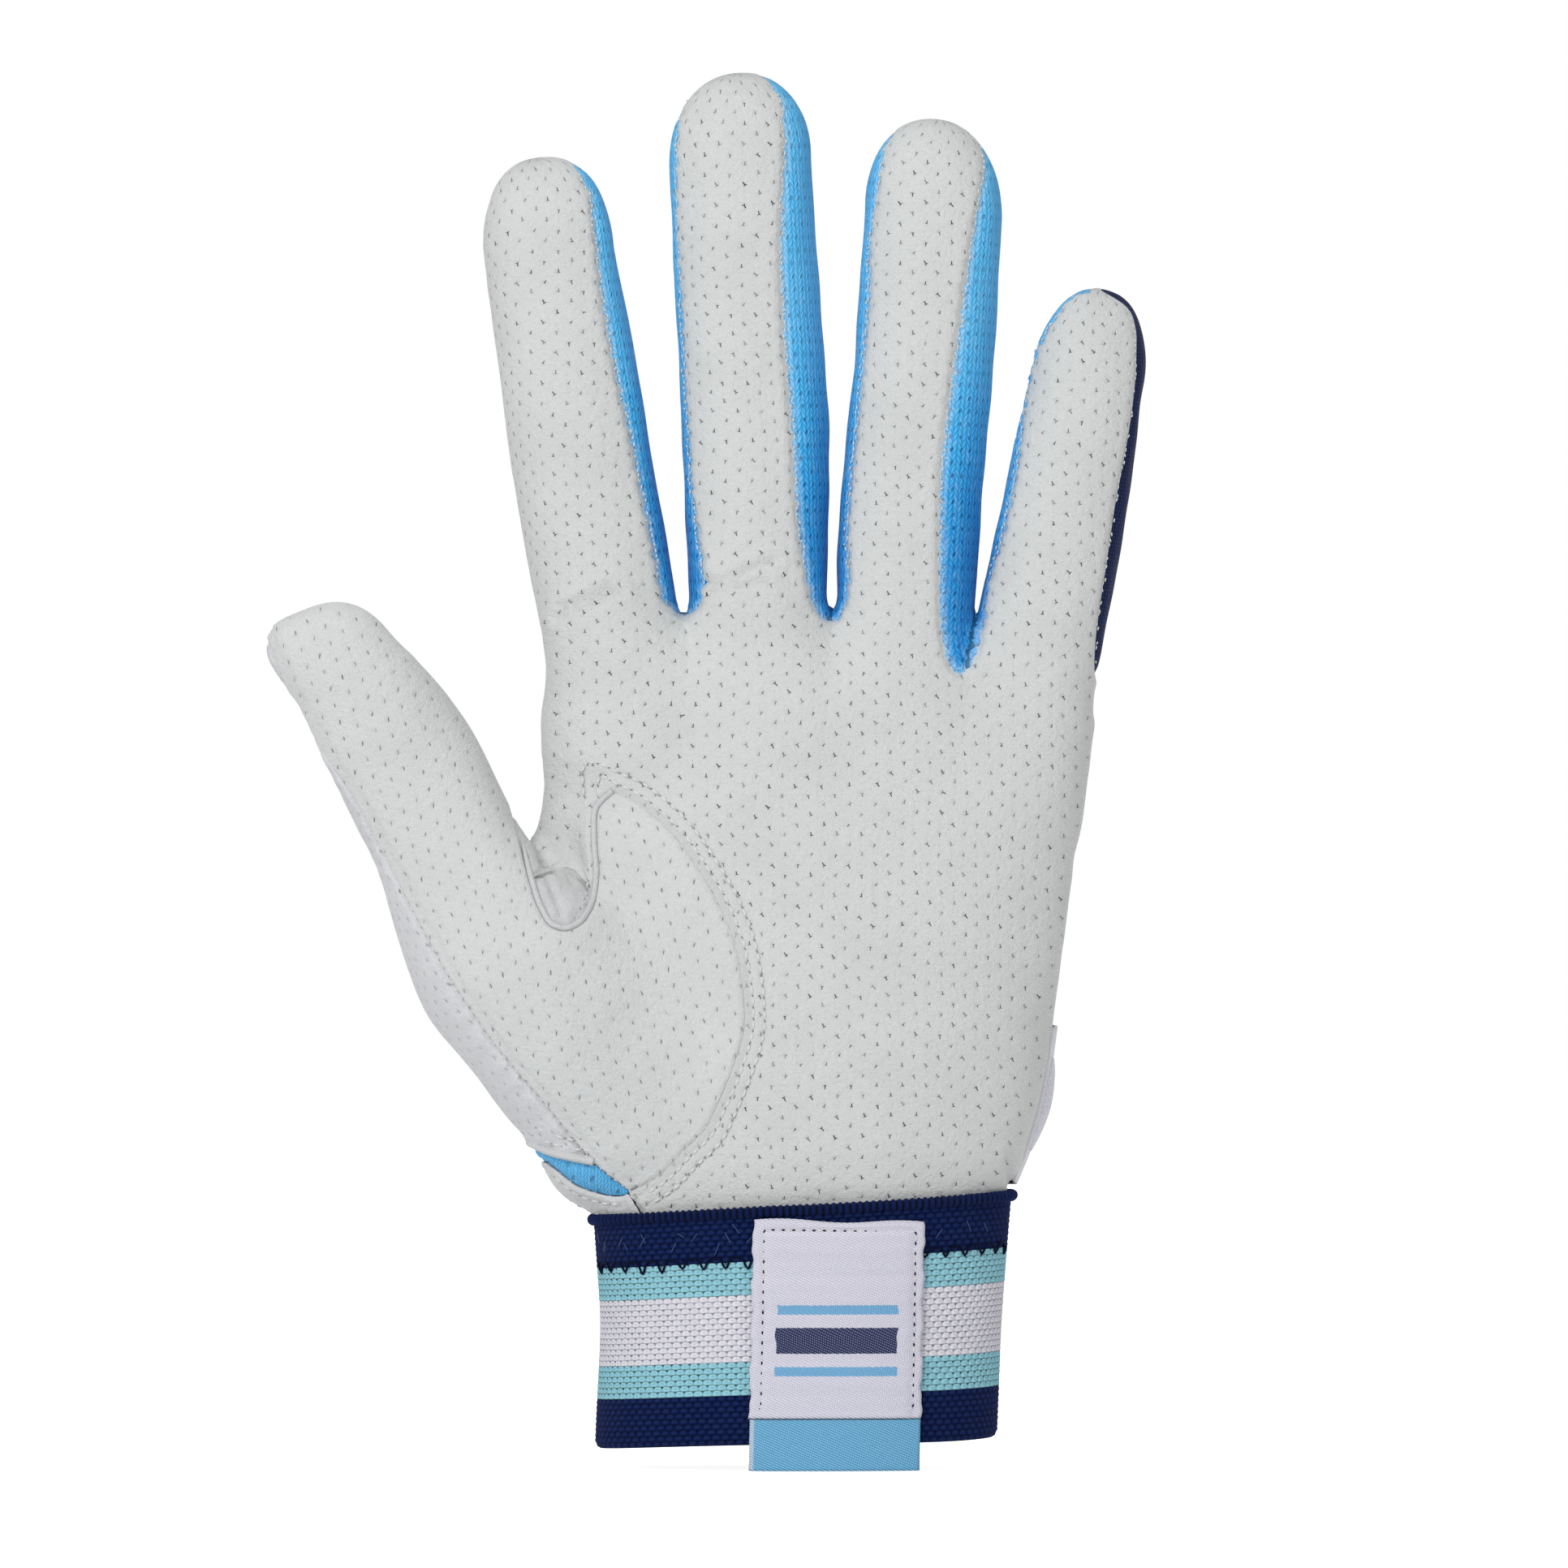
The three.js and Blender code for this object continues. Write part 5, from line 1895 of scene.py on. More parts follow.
class Stitcher:
    """Lays threads and needle holes on a surface."""

    def __init__(self, form: HandForm) -> None:
        """Models one stitch, to be copied.

        Args:
            form: The hand's form that rows lie on.
        """
        self.form = form
        deselect()
        bpy.ops.mesh.primitive_uv_sphere_add(segments=6, ring_count=5, radius=1.0 * MM)
        made = bpy.context.object
        self.co = points_of(made)
        made.data.calc_loop_triangles()
        self.tri = np.array([t.vertices[:] for t in made.data.loop_triangles])
        bpy.data.objects.remove(made, do_unlink=True)

    def copies(self, at: Array, along: Array, normal: Array, size: tuple[float, float, float],
               finish: int) -> Bits:
        """Copies of the stitch at places.

        Args:
            at: Middles.
            along: Directions of the thread.
            normal: Directions out of the surface.
            size: Half-length, half-width and half-height.
            finish: Number of the finish.

        Returns:
            All the copies together.
        """
        along = unit(along - (along * normal).sum(1, keepdims=True) * normal)
        ways = np.stack([along, np.cross(normal, along), normal], axis=1)
        co = at[:, None] + (self.co * size) @ ways
        no = unit((self.co / size) @ ways)
        count, each = len(at), len(self.co)
        tri = (self.tri[None] + (np.arange(count) * each)[:, None, None]).reshape(-1, 3)
        uv = (self.co * size)[:, :2]
        uv = (uv[None] + np.arange(count)[:, None, None] * 0.37).reshape(-1, 2)
        return Bits(co.reshape(-1, 3), tri, no.reshape(-1, 3), uv, finish)

    def on_front(self, line: Array, lift: float) -> tuple[Array, Array, Array]:
        """A line in x and z laid on the palm side, with its normals and whether it lies on the glove.

        Args:
            line: Its points.
            lift: Height over the hand's form.

        Returns:
            Points, normals and True for each point that the form holds.
        """
        at = self.form.front(line[:, 0], line[:, 1])
        normal = unit(self.form.slope(at))
        return at + normal * lift, normal, np.abs(self.form.distance(at)) < 0.15

    def row(self, line: Array, pitch: float, lift: float, length: float = 0.62,
            width: float = 0.2) -> list[Bits]:
        """A row of stitches along a line in x and z.

        Args:
            line: The row's path.
            pitch: Stitch spacing.
            lift: Height over the hand's form.
            length: Half-length of a stitch.
            width: Half-width of a stitch.

        Returns:
            Threads of finish 1 and needle holes of finish 2.
        """
        at, normal, fits = self.on_front(spaced(line, pitch / 2), lift)
        way = np.gradient(at, axis=0)
        odd = np.arange(len(at)) % 2 == 1
        thread, needle = fits & ~odd, fits & odd
        low = at[needle] - normal[needle] * 0.05
        lean = way[needle] + 0.5 * np.cross(normal[needle], way[needle])
        return [self.copies(at[thread], way[thread], normal[thread], (length, width, 0.16), 1),
                self.copies(low, lean, normal[needle], (0.30, 0.16, 0.10), 2)]

    def border(self, at: Array, normal: Array, thread: tuple[float, float, float],
               hole: tuple[float, float, float], sink: float = 0.0) -> list[Bits]:
        """Threads and needle holes by turns along a border.

        Args:
            at: Places along it.
            normal: Directions out of the surface.
            thread: Half-length, half-width and half-height of a thread.
            hole: The same of a needle hole.
            sink: How deep the holes lie.

        Returns:
            Threads of finish 0 and needle holes of finish 1.
        """
        way = np.gradient(at, axis=0)
        low = at[1::2] - normal[1::2] * sink
        return [self.copies(at[0::2], way[0::2], normal[0::2], thread, 0),
                self.copies(low, way[1::2], normal[1::2], hole, 1)]


def tube(path: Array, normal: Array, radius: Array | float, finish: int, flat: float = 1.0,
         sides: int = 8) -> Bits:
    """A round cord along a path, closed at its ends.

    Args:
        path: Its middle line.
        normal: Up direction at each point.
        radius: Half its width, or one such number for each point.
        finish: Number of the finish.
        flat: Height over width.
        sides: Faces round it.

    Returns:
        The cord.
    """
    way = unit(np.gradient(path, axis=0))
    across = unit(np.cross(way, normal))
    up = np.cross(across, way)
    turn = np.arange(sides) * 2 * math.pi / sides
    ring = np.cos(turn)[None, :, None] * across[:, None] + np.sin(turn)[None, :, None] * up[:, None] * flat
    thick = np.broadcast_to(np.asarray(radius, float), (len(path),))[:, None]
    co = (path[:, None] + ring * thick[..., None]).reshape(-1, 3)
    count = len(path)
    i, j = np.meshgrid(np.arange(count - 1), np.arange(sides), indexing="ij")
    a, b = i * sides + j, i * sides + (j + 1) % sides
    c, d = a + sides, b + sides
    tri = np.vstack([np.stack([a, c, b], -1).reshape(-1, 3), np.stack([b, c, d], -1).reshape(-1, 3)])
    ends = np.vstack([path[:1], path[-1:]])
    first, last = len(co), len(co) + 1
    k = np.arange(sides)
    after = (k + 1) % sides
    top = (count - 1) * sides
    caps = np.vstack([np.stack([k * 0 + first, k, after], 1),
                      np.stack([k * 0 + last, top + after, top + k], 1)])
    run = np.concatenate([[0], np.cumsum(np.linalg.norm(np.diff(path, axis=0), axis=1))])
    uv = np.stack(np.broadcast_arrays(run[:, None], turn[None] * thick), axis=-1).reshape(-1, 2)
    no = np.vstack([unit(ring.reshape(-1, 3)), -way[:1], way[-1:]])
    return Bits(np.vstack([co, ends]), np.vstack([tri, caps]), no, np.vstack([uv, uv[:1], uv[-1:]]), finish)


def beside(line: Array, gap: float) -> Array:
    """A line in x and z moved to its right-hand side by a gap.

    Args:
        line: Its points.
        gap: How far it moves.

    Returns:
        The moved line.
    """
    way = unit(np.gradient(line, axis=0))
    return line + np.stack([way[:, 1], -way[:, 0]], axis=1) * gap


def corner_normals(co: Array, tri: Array) -> Array:
    """Smooth normals at the points of some triangles.

    Args:
        co: The points.
        tri: The triangles.

    Returns:
        Normals of length one.
    """
    p = co[tri]
    face = np.cross(p[:, 1] - p[:, 0], p[:, 2] - p[:, 0])
    out = np.zeros_like(co)
    for axis in range(3):
        out[:, axis] = np.bincount(tri.ravel(), np.repeat(face[:, axis], 3), len(co))
    return unit(out)


def ring_faces(around: int, count: int) -> Array:
    """Triangles of a grid that closes on itself both ways.

    Args:
        around: Points the first way.
        count: Points the second way.

    Returns:
        Triangles of point numbers.
    """
    a = np.arange(around * count).reshape(around, count)
    b, d = np.roll(a, -1, axis=0), np.roll(a, -1, axis=1)
    c = np.roll(b, -1, axis=1)
    return np.vstack([np.stack([a, b, c], -1).reshape(-1, 3), np.stack([a, c, d], -1).reshape(-1, 3)])


def section_at(turn: Array, sizes: Sequence[Array], power: float) -> tuple[Array, Array]:
    """Places round a rounded section.

    Args:
        turn: Angles from the front, growing towards the little finger.
        sizes: Half-sizes towards the thumb, the little finger, the palm side and the back.
        power: Squareness of the section, 2 for an ellipse.

    Returns:
        Places in x and y.
    """
    radial, ulnar, front, back = sizes
    s, c = np.sin(turn), np.cos(turn)
    x = np.where(s < 0, radial, ulnar) * np.sign(s) * np.abs(s) ** (2 / power)
    y = -np.where(c > 0, front, back) * np.sign(c) * np.abs(c) ** (2 / power)
    return x, y


@dataclass(frozen=True)
class Cloth:
    """What a panel is cut from: finish, the record's slot, thickness and flat directions."""

    finish: Material
    slot: str
    wall: float
    flat: tuple[str, str]


@dataclass
class HandShell:
    """Palm, fingers, thumb and knit panels of the glove."""

    panels: Panels
    stitcher: Stitcher
    finishes: Wardrobe
    leather_wall: float = 0.9
    knit_wall: float = 0.8
    leather_edges: tuple[float, ...] = (0.25, 0.6, 1.1, 1.8)
    knit_edges: tuple[float, ...] = (0.4, 1.0)
    far_from_seam: float = 9.0

    def leather(self, finish: Material, u: str, v: str) -> Cloth:
        """Leather laid out flat by two values."""
        return Cloth(finish, "palm_leather", self.leather_wall, (u, v))

    def add(self, name: str, skin: Skin, cloth: Cloth, extra: Sequence[Bits] = (),
            others: Sequence[Material] = ()) -> bpy.types.Object:
        """One panel as an object that stands for its solid.

        Args:
            name: The solid's name.
            skin: The raised panel.
            cloth: What it is cut from.
            extra: Threads sewn to it.
            others: Finishes of those threads.

        Returns:
            The new object.
        """
        shell = Bits.shell(skin, cloth.wall, *cloth.flat)
        made = mesh_from(f"{name}_shell", [shell, *extra], [cloth.finish, *others])
        if "seam" in skin.val:
            self.mark_seam(made, skin)
        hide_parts(name)
        LOG.info("%s: %d points", name, len(made.data.vertices))
        return made

    def hand_piece(self, name: str, skin: Skin, cloth: Cloth, extra: Sequence[Bits] = (),
                   others: Sequence[Material] = ()) -> None:
        """The part of a panel that is fixed to the hand.

        Args:
            name: The solid's name.
            skin: The raised panel.
            cloth: What it is cut from.
            extra: Threads sewn to it.
            others: Finishes of those threads.
        """
        made = self.add(name, self.panels.zone(skin, "zone_hand"), cloth, extra, others)
        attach(made, "hand")

    def mark_seam(self, made: bpy.types.Object, skin: Skin) -> None:
        """Keeps each point's distance from the seam, for finishes that change beside it.

        Args:
            made: The panel's object.
            skin: The panel.
        """
        seam = skin.val["seam"]
        values = np.full((len(made.data.vertices), 2), self.far_from_seam)
        values[: len(skin.co)] = np.stack([seam, skin.val.get("unpunched", np.zeros_like(seam))], axis=1)
        corners = np.zeros(len(made.data.loops), dtype=np.int32)
        made.data.loops.foreach_get("vertex_index", corners)
        layer = made.data.uv_layers.new(name="seam", do_init=False)
        layer.uv.foreach_set("vector", values[corners].ravel())

    def bend(self, made: bpy.types.Object, digit: Digit, upper: bool) -> None:
        """Works out where a digit's joint runs, though nothing uses it, and bakes the piece's transform.

        Args:
            made: The piece.
            digit: The digit.
            upper: True past the middle of the lower bone, where the span is the one round the knuckle.
        """
        if upper:
            ends = (digit.knuckle - 5.0, digit.knuckle + 5.0)
        else:
            ends = (digit.flex_start, digit.flex_end)
        start, end = (digit.place(0.0, along) for along in ends)
        start[0] * MM
        start[1] * MM
        end[0] * MM
        end[1] * MM
        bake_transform(made)

    def digit_pieces(self, skin: Skin, digit: Digit, part: str, cloth: Cloth, side: int = 0) -> None:
        """Both halves of one panel on one digit.

        Args:
            skin: The raised panel, over all digits.
            digit: The digit.
            part: Name of the panel on it.
            cloth: What it is cut from.
            side: -1 or 1 for only the thumb's or the little finger's side of the digit.
        """
        zone = self.panels.zone(skin, f"zone_{digit.name}")
        if side:
            middle = zone.co[zone.tri].mean(axis=1)
            keep = np.sign(digit.local(middle[:, 0], middle[:, 2])[0])
            zone = Skin(zone.co, zone.no, zone.tri[keep == side], zone.val).used()
        for half, sign in (("lower", -1), ("upper", 1)):
            piece = self.panels.zone(zone, f"half_{digit.name}", sign)
            extra = self.flecks(digit, part, half)
            others = [self.finishes.white] if extra else []
            made = self.add(f"{digit.name}_{part}_{half}", piece, cloth, extra, others)
            self.bend(made, digit, half == "upper")

    def flecks(self, digit: Digit, part: str, half: str) -> list[Bits]:
        """Small white threads that show along a finger's front seams.

        Args:
            digit: The digit.
            part: The panel on it.
            half: Which half of the panel.

        Returns:
            The threads, or none on any other panel.
        """
        if part != "front" or digit is THUMB:
            return []
        number = FINGERS.index(digit)
        lines = []
        if number < 3:
            lines.append((SEAMS.fork_left[number], 0.05))
        if number > 0:
            lines.append((SEAMS.fork_right[number - 1], 0.05))
        if digit is LITTLE:
            lines.append((SEAMS.navy, 0.4))
        if half == "lower":
            low, high = digit.flex_start + 0.5, digit.knuckle / 2 - 0.8
        else:
            low, high = digit.knuckle / 2 + 0.8, digit.tip - 4.0
        out = []
        pick = np.random.default_rng(number * 7 + (half == "upper"))
        for line, gap in lines:
            path = smooth_line(line, 0.5)
            middle = np.interp(path[:, 1], [100, 240], [digit.place(0, -30)[0], digit.place(0, 110)[0]])
            sign = np.sign(np.mean(middle - path[:, 0]))
            way = unit(np.gradient(path, axis=0))
            inward = np.stack([np.abs(way[:, 1]) * sign, np.zeros(len(way))], axis=1)
            path = path + inward * gap
            _, along = digit.local(path[:, 0], path[:, 1])
            path = path[(along > low) & (along < high)]
            if len(path) < 6:
                continue
            even = spaced(path, 1.05)
            even = even + pick.uniform(-0.3, 0.3, even.shape)
            at, normal, fits = self.stitcher.on_front(even, 0.12)
            way = np.gradient(at, axis=0) + pick.uniform(-0.8, 0.8, at.shape)
            out.append(self.stitcher.copies(at[fits], way[fits], normal[fits], (0.36, 0.13, 0.13), 1))
        return out

    def build(self) -> None:
        """Every panel of the hand and its digits."""
        self.palm_side()
        self.thumb_side()
        self.knit_side()

    def palm_side(self) -> None:
        """Palm and finger fronts, left unpunched where they turn edge on and in the web's fold."""
        kit, panels = self.finishes, self.panels
        front = panels.panel("front", self.leather_edges, panels.leather)
        front.val["seam"] = np.where(front.co[:, 2] < 108.0, front.val["arc"], self.far_from_seam)
        edge_on = 1.0 - ramp(-front.no[:, 1], 0.15, 0.4)
        low = 1.0 - ramp(front.co[:, 2], 140.0, 152.0)
        in_fold = ramp(front.val["web"], 0.0, 1.0) * ramp(front.val["under"], -4.2, -2.6)
        front.val["unpunched"] = np.maximum(edge_on * low, in_fold)
        cloth = self.leather(kit.leather, "u", "v")
        for digit in FINGERS:
            self.digit_pieces(front, digit, "front", cloth)
        self.hand_piece("palm_panel", front, cloth, self.palm_stitches(), [kit.white, kit.dark])

    def thumb_side(self) -> None:
        """Thumb leather, web, window and strap base."""
        kit, panels = self.finishes, self.panels
        thumb = panels.panel("thumb", self.leather_edges, panels.thumb_leather)
        thumb.val["seam"] = np.full(len(thumb.co), self.far_from_seam)
        thumb.val["unpunched"] = 1.0 - ramp(-thumb.no[:, 1], 0.15, 0.4)
        ball = self.leather(kit.thumb_leather, "plain_u", "v")
        self.digit_pieces(thumb, THUMB, "front", ball)
        self.hand_piece("thumb_ball_panel", thumb, ball, self.side_stitches(), [kit.white, kit.dark])
        tongue = panels.panel("tongue", (0.3, 0.7, 1.2), panels.tongue_leather)
        folded = self.leather(kit.hem, "u", "v")
        self.hand_piece("web_gusset", tongue, folded, self.web_rim(), [kit.hem, kit.dark])
        side = panels.panel("side", self.leather_edges, panels.side_leather)
        back = self.leather(kit.side_leather, "thumb_u", "thumb_v")
        self.digit_pieces(side, THUMB, "back", back)
        threads = [kit.white, kit.dark, kit.hem]
        self.hand_piece("thumb_side_panel", side, back, self.window_stitches(), threads)
        window = panels.panel("window", self.knit_edges, panels.knit)
        window.val["seam"] = np.full(len(window.co), 2.0)
        mesh = Cloth(kit.window, "mesh_knit", self.knit_wall, ("u", "v"))
        self.hand_piece("thumb_base_window", window, mesh)
        base = panels.panel("base", (0.3, 0.8), panels.hem)
        strip = Cloth(kit.hem, "strap_laminate", self.leather_wall, ("u", "v"))
        self.hand_piece("strap_base", base, strip, self.base_stitches(), [kit.white, kit.dark])

    def knit_side(self) -> None:
        """Backs of the hand and fingers, and the strips between the fingers."""
        kit, panels = self.finishes, self.panels
        back = panels.panel("back", self.knit_edges, panels.knit)
        sleeve = Cloth(kit.navy, "navy_knit", self.knit_wall, ("round_u", "round_v"))
        for digit in FINGERS:
            self.digit_pieces(back, digit, "back", sleeve)
        self.hand_piece("back_panel", back, Cloth(kit.navy, "navy_knit", self.knit_wall, ("u", "v")))
        strip = Cloth(kit.mesh, "mesh_knit", self.knit_wall, ("round_u", "round_v"))
        for i, name in enumerate(("index_middle", "middle_ring", "ring_little")):
            fork = panels.panel(f"fork{i}", self.knit_edges, panels.knit)
            fork.val["seam"] = np.where(fork.co[:, 1] < 0.5, fork.val[f"fork{i}"], self.far_from_seam)
            self.digit_pieces(fork, FINGERS[i], "ulnar_fourchette", strip, 1)
            self.digit_pieces(fork, FINGERS[i + 1], "radial_fourchette", strip, -1)
            self.hand_piece(f"crotch_{name}", fork, strip)

    def palm_stitches(self) -> list[Bits]:
        """Double row round the ball of the thumb and its corner.

        Returns:
            Threads and needle holes.
        """
        arc = smooth_line(SEAMS.arc, 0.4)
        keep = arc[:, 1] > 43.0
        inner = [(-30.8, 108.6), (-32.0, 109.4), (-32.5, 108.0), (-32.3, 105.6)]
        outer = [(-31.4, 110.8), (-33.6, 111.4), (-34.9, 110.2), (-34.8, 107.0), (-34.2, 103.8)]
        out = []
        for gap, corner in ((1.5, inner), (3.3, outer)):
            out += self.stitcher.row(np.vstack([beside(arc, gap)[keep], corner]), 1.9, 0.27, 0.6, 0.27)
        return out

    def side_stitches(self) -> list[Bits]:
        """Small stitches drawn into the thumb's side seam.

        Returns:
            Threads and needle holes.
        """
        line = smooth_line(SEAMS.side, 0.4)
        line = line[line[:, 1] < 97.0]
        return self.stitcher.row(beside(line, -0.45), 1.5, 0.16, 0.3, 0.1)

    def web_rim(self) -> list[Bits]:
        """Rolled edge round the web, a thin dark cord of painted shadow in the gap beside it, and a row of
        stitches.

        Returns:
            Cords, threads and needle holes.
        """
        line = smooth_line(SEAMS.web, 0.5)
        line = line[: np.argmax(line[:, 1] < 84.5) + 46]
        at, normal, _ = self.stitcher.on_front(beside(line, 0.5), 0.2)
        # A thin dark cord of painted shadow in the gap beside the rolled edge.
        gap, shadow_cord_normal, _ = self.stitcher.on_front(beside(line, -0.02), 0.26)
        taper = 0.12 + 0.88 * ramp(np.arange(len(line))[::-1], 0.0, 16.0)
        inner = beside(line, 1.75)
        inner = inner[(inner[:, 0] > -35.5) & (inner[:, 1] < 101.0)]
        return [tube(at, normal, 0.56 * taper, 1, 0.8, 10), tube(gap, shadow_cord_normal, 0.075 * taper, 2, 0.6, 6),
                *self.stitcher.row(inner, 1.6, 0.24, 0.5, 0.22)]

    def window_stitches(self) -> list[Bits]:
        """Two rows and a welt above the window.

        Returns:
            Threads, needle holes and the welt's cord.
        """
        line = smooth_line(SEAMS.window_top[:5], 0.4)
        out = []
        for gap in (2.0, 3.3):
            out += self.stitcher.row(line[6:] + [0.4 * gap, gap], 1.7, 0.28)
        welt = smooth_line(SEAMS.window_top[1:5], 0.4) + [0.2, 0.75]
        at, normal, fits = self.stitcher.on_front(welt, 0.25)
        out.append(tube(at[fits], normal[fits], 0.8, 3, 0.75, 10))
        return out

    def base_stitches(self) -> list[Bits]:
        """Two rows on the strip below the window.

        Returns:
            Threads and needle holes.
        """
        out = []
        line = smooth_line(SEAMS.window_low[1:], 0.4)
        for gap in (1.1, 3.3):
            out += self.stitcher.row(line[8:-4] + [0.25 * gap, -gap], 1.7, 0.42)
        return out


@dataclass
class Cuff:
    """Knitted elastic cuff with its overlocked edge, zigzag threads, label and tail."""

    finishes: Wardrobe
    stitcher: Stitcher
    power: float = 2.3
    loops: int = 110
    rows: int = 42
    wall: float = 1.7
    relief: float = 0.42
    label_left: float = -7.4
    label_right: float = 19.8
    label_top: float = 37.2
    fold: float = 5.0
    tail_end: float = -3.5
    sizes: RowTable = field(default_factory=lambda: RowTable((
        (0, 33.0, 32.3, 19.5, 19.5), (4, 32.8, 32.5, 19.5, 19.5), (20, 32.0, 33.1, 19.3, 19.3),
        (37, 33.2, 34.4, 19.6, 19.6), (42, 33.5, 34.9, 19.7, 19.7)), 3.0))

    def ring(self, count: int) -> Array:
        """Angles that step evenly round the cuff, from the middle of the back.

        Args:
            count: Number of angles.

        Returns:
            The angles.
        """
        fine = np.linspace(-math.pi, math.pi, 4001)
        x, y = self.section(fine, np.full(fine.shape, 20.0))
        run = np.concatenate([[0], np.cumsum(np.hypot(np.diff(x), np.diff(y)))])
        return np.interp(np.linspace(0, run[-1], count, endpoint=False), run, fine)

    def section(self, turn: Array, level: Array) -> tuple[Array, Array]:
        """Places in x and y at angles from the front and levels."""
        return section_at(turn, self.sizes.read(level), self.power)

    def level(self, turn: Array, share: Array) -> Array:
        """Height of a share of the cuff's rise; the bands tilt up towards the little finger.

        Args:
            turn: Angles from the front.
            share: 0 at the rim to 1 at the top.

        Returns:
            The heights.
        """
        s = np.sin(turn)
        low = 0.45 + 0.55 * s + 0.7 * np.clip(s, 0, 1) ** 4 + 0.3 * np.cos(2 * turn)
        high = 38.9 + 2.0 * s
        return low + (high - low) * share

    def out(self, turn: Array, level: Array) -> Array:
        """Outward direction in x and y.

        Args:
            turn: Angles from the front.
            level: Heights.

        Returns:
            Directions of length one.
        """
        step = 0.004
        ax, ay = self.section(turn - step, level)
        bx, by = self.section(turn + step, level)
        return unit(np.stack([by - ay, ax - bx, np.zeros_like(ax)], axis=-1))

    def surface(self, turn: Array, level: Array, lift: Array | float) -> Array:
        """Points on or over the cuff."""
        x, y = self.section(turn, level)
        return np.stack([x, y, level], axis=-1) + self.out(turn, level) * np.asarray(lift)[..., None]

    def build(self) -> None:
        """The cuff and all that is sewn to it."""
        self.band()
        self.edge()
        self.label()
        self.tail()

    def band(self) -> None:
        """Striped band with a real relief of loops."""
        around, up = self.loops * 5, self.rows * 3
        turn = self.ring(around)
        share = np.linspace(0, 1, up + 1)
        t, s = np.meshgrid(turn, share, indexing="ij")
        u = np.broadcast_to((np.arange(around) / 5)[:, None], t.shape)
        v = np.broadcast_to((np.arange(up + 1) / 3)[None], t.shape)
        row = np.floor(v + 1e-6)
        fu = (u + 0.5 * (row % 2)) % 1.0
        fv = v - row + 0.17
        knot = np.clip(np.cos((fu - 0.5) * 2.8), 0, 1) * np.clip(np.cos((fv - 0.5) * 2.6), 0, 1)
        rim = np.clip(s / 0.03, 0, 1)
        lift = self.relief * (np.sqrt(knot) - 0.6) - 0.8 * (1 - np.sqrt(rim))
        level = self.level(t, s)
        outer = self.surface(t, level, lift)
        lining = np.linspace(up, 0, 6).astype(int)
        inner = self.surface(t[:, lining], level[:, lining], np.full((around, 6), -self.wall))
        loop = np.concatenate([outer, inner], axis=1)
        faces = ring_faces(around, loop.shape[1])
        co = loop.reshape(-1, 3)
        uv = np.stack([np.concatenate([m, m[:, lining]], axis=1).ravel() for m in (u, v)], axis=1)
        bits = Bits(co, faces, corner_normals(co, faces), uv)
        made = mesh_from("cuff_band_knit", [bits, *self.zigzags()],
                         [self.finishes.cuff, self.finishes.ink, self.finishes.pale])
        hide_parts("cuff_band")
        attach(made, "hand")
        LOG.info("cuff_band: %d points", len(co))

    def zigzags(self) -> list[Bits]:
        """Loose zigzag threads over the upper bands.

        Returns:
            The threads.
        """
        rows = ((0.795, 1.0, 4.1, 1, 0.42, 1), (0.905, 1.5, 5.2, 2, 0.40, 2), (0.872, 1.7, 4.1, 2, 0.40, 3))
        out = []
        for share, swing, pitch, finish, lift, seed in rows:
            pick = np.random.default_rng(seed)
            count = int(200 / pitch) * 2
            turn = self.ring(count * 6)
            sway = np.where(np.arange(count + 1) % 2, 1.0, -1.0) * pick.uniform(0.35, 1.3, count + 1)
            wave = np.interp(np.arange(count * 6) / 6.0, np.arange(count + 1), sway)
            if finish == 1:
                beat = np.arange(count * 6) / 12.0
                deep = pick.uniform(1.4, 2.3, count)[np.floor(beat).astype(int)]
                wave = 0.5 - deep * np.exp(-(((beat % 1.0 - 0.5) / 0.17) ** 2))
            level = self.level(turn, np.full(turn.shape, share)) + wave * swing
            hop = 0.16 * np.abs(np.sin(np.arange(count * 6) / 6.0 * math.pi))
            at = self.surface(turn, level, lift - 0.22 + hop)
            hide = (at[:, 0] > self.label_left) & (at[:, 0] < self.label_right) & (at[:, 1] < 0)
            normal = self.out(turn, level)
            beat = np.arange(count * 6)
            bare = (beat % 6 < 4) & (pick.uniform(0, 1, count + 1)[beat // 6] < 0.32)
            hide |= np.abs(np.sin(turn)) > 0.985
            shown = ~hide & ((finish == 1) | bare)
            starts = np.flatnonzero(shown)
            for run in np.split(starts, np.flatnonzero(np.diff(starts) > 1) + 1):
                if len(run) > 2:
                    out.append(tube(at[run], normal[run], 0.2 if finish == 1 else 0.065, finish, 1.0, 5))
        return out

    def edge(self) -> None:
        """Overlocked ridge along the top of the cuff."""
        count = 1100
        turn = self.ring(count)
        top = self.level(turn, np.ones(count))
        rib = 0.5 + 0.5 * np.cos(np.arange(count) / count * 2 * math.pi * round(185 / 1.12))
        side = 14
        roll = np.linspace(0, 2 * math.pi, side, endpoint=False)
        thick = 0.42 + 0.62 * np.sqrt(rib)
        lift = 0.15 + np.sin(roll)[None] * thick[:, None]
        level = top[:, None] - 0.15 + np.cos(roll)[None] * (0.74 + 0.26 * rib)[:, None]
        t = np.broadcast_to(turn[:, None], lift.shape)
        co = self.surface(t, level, lift).reshape(-1, 3)
        tri = ring_faces(count, side)[:, [0, 2, 1]]
        run = np.broadcast_to((np.arange(count) / count * 190)[:, None], lift.shape)
        uv = np.stack([run.ravel(), np.broadcast_to(roll[None], lift.shape).ravel()], axis=1)
        bits = Bits(co, tri, corner_normals(co, tri), uv)
        made = mesh_from("cuff_edge_overlock", [bits], [self.finishes.edge])
        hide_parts("cuff_edge")
        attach(made, "hand")
        LOG.info("cuff_edge: %d points", len(co))

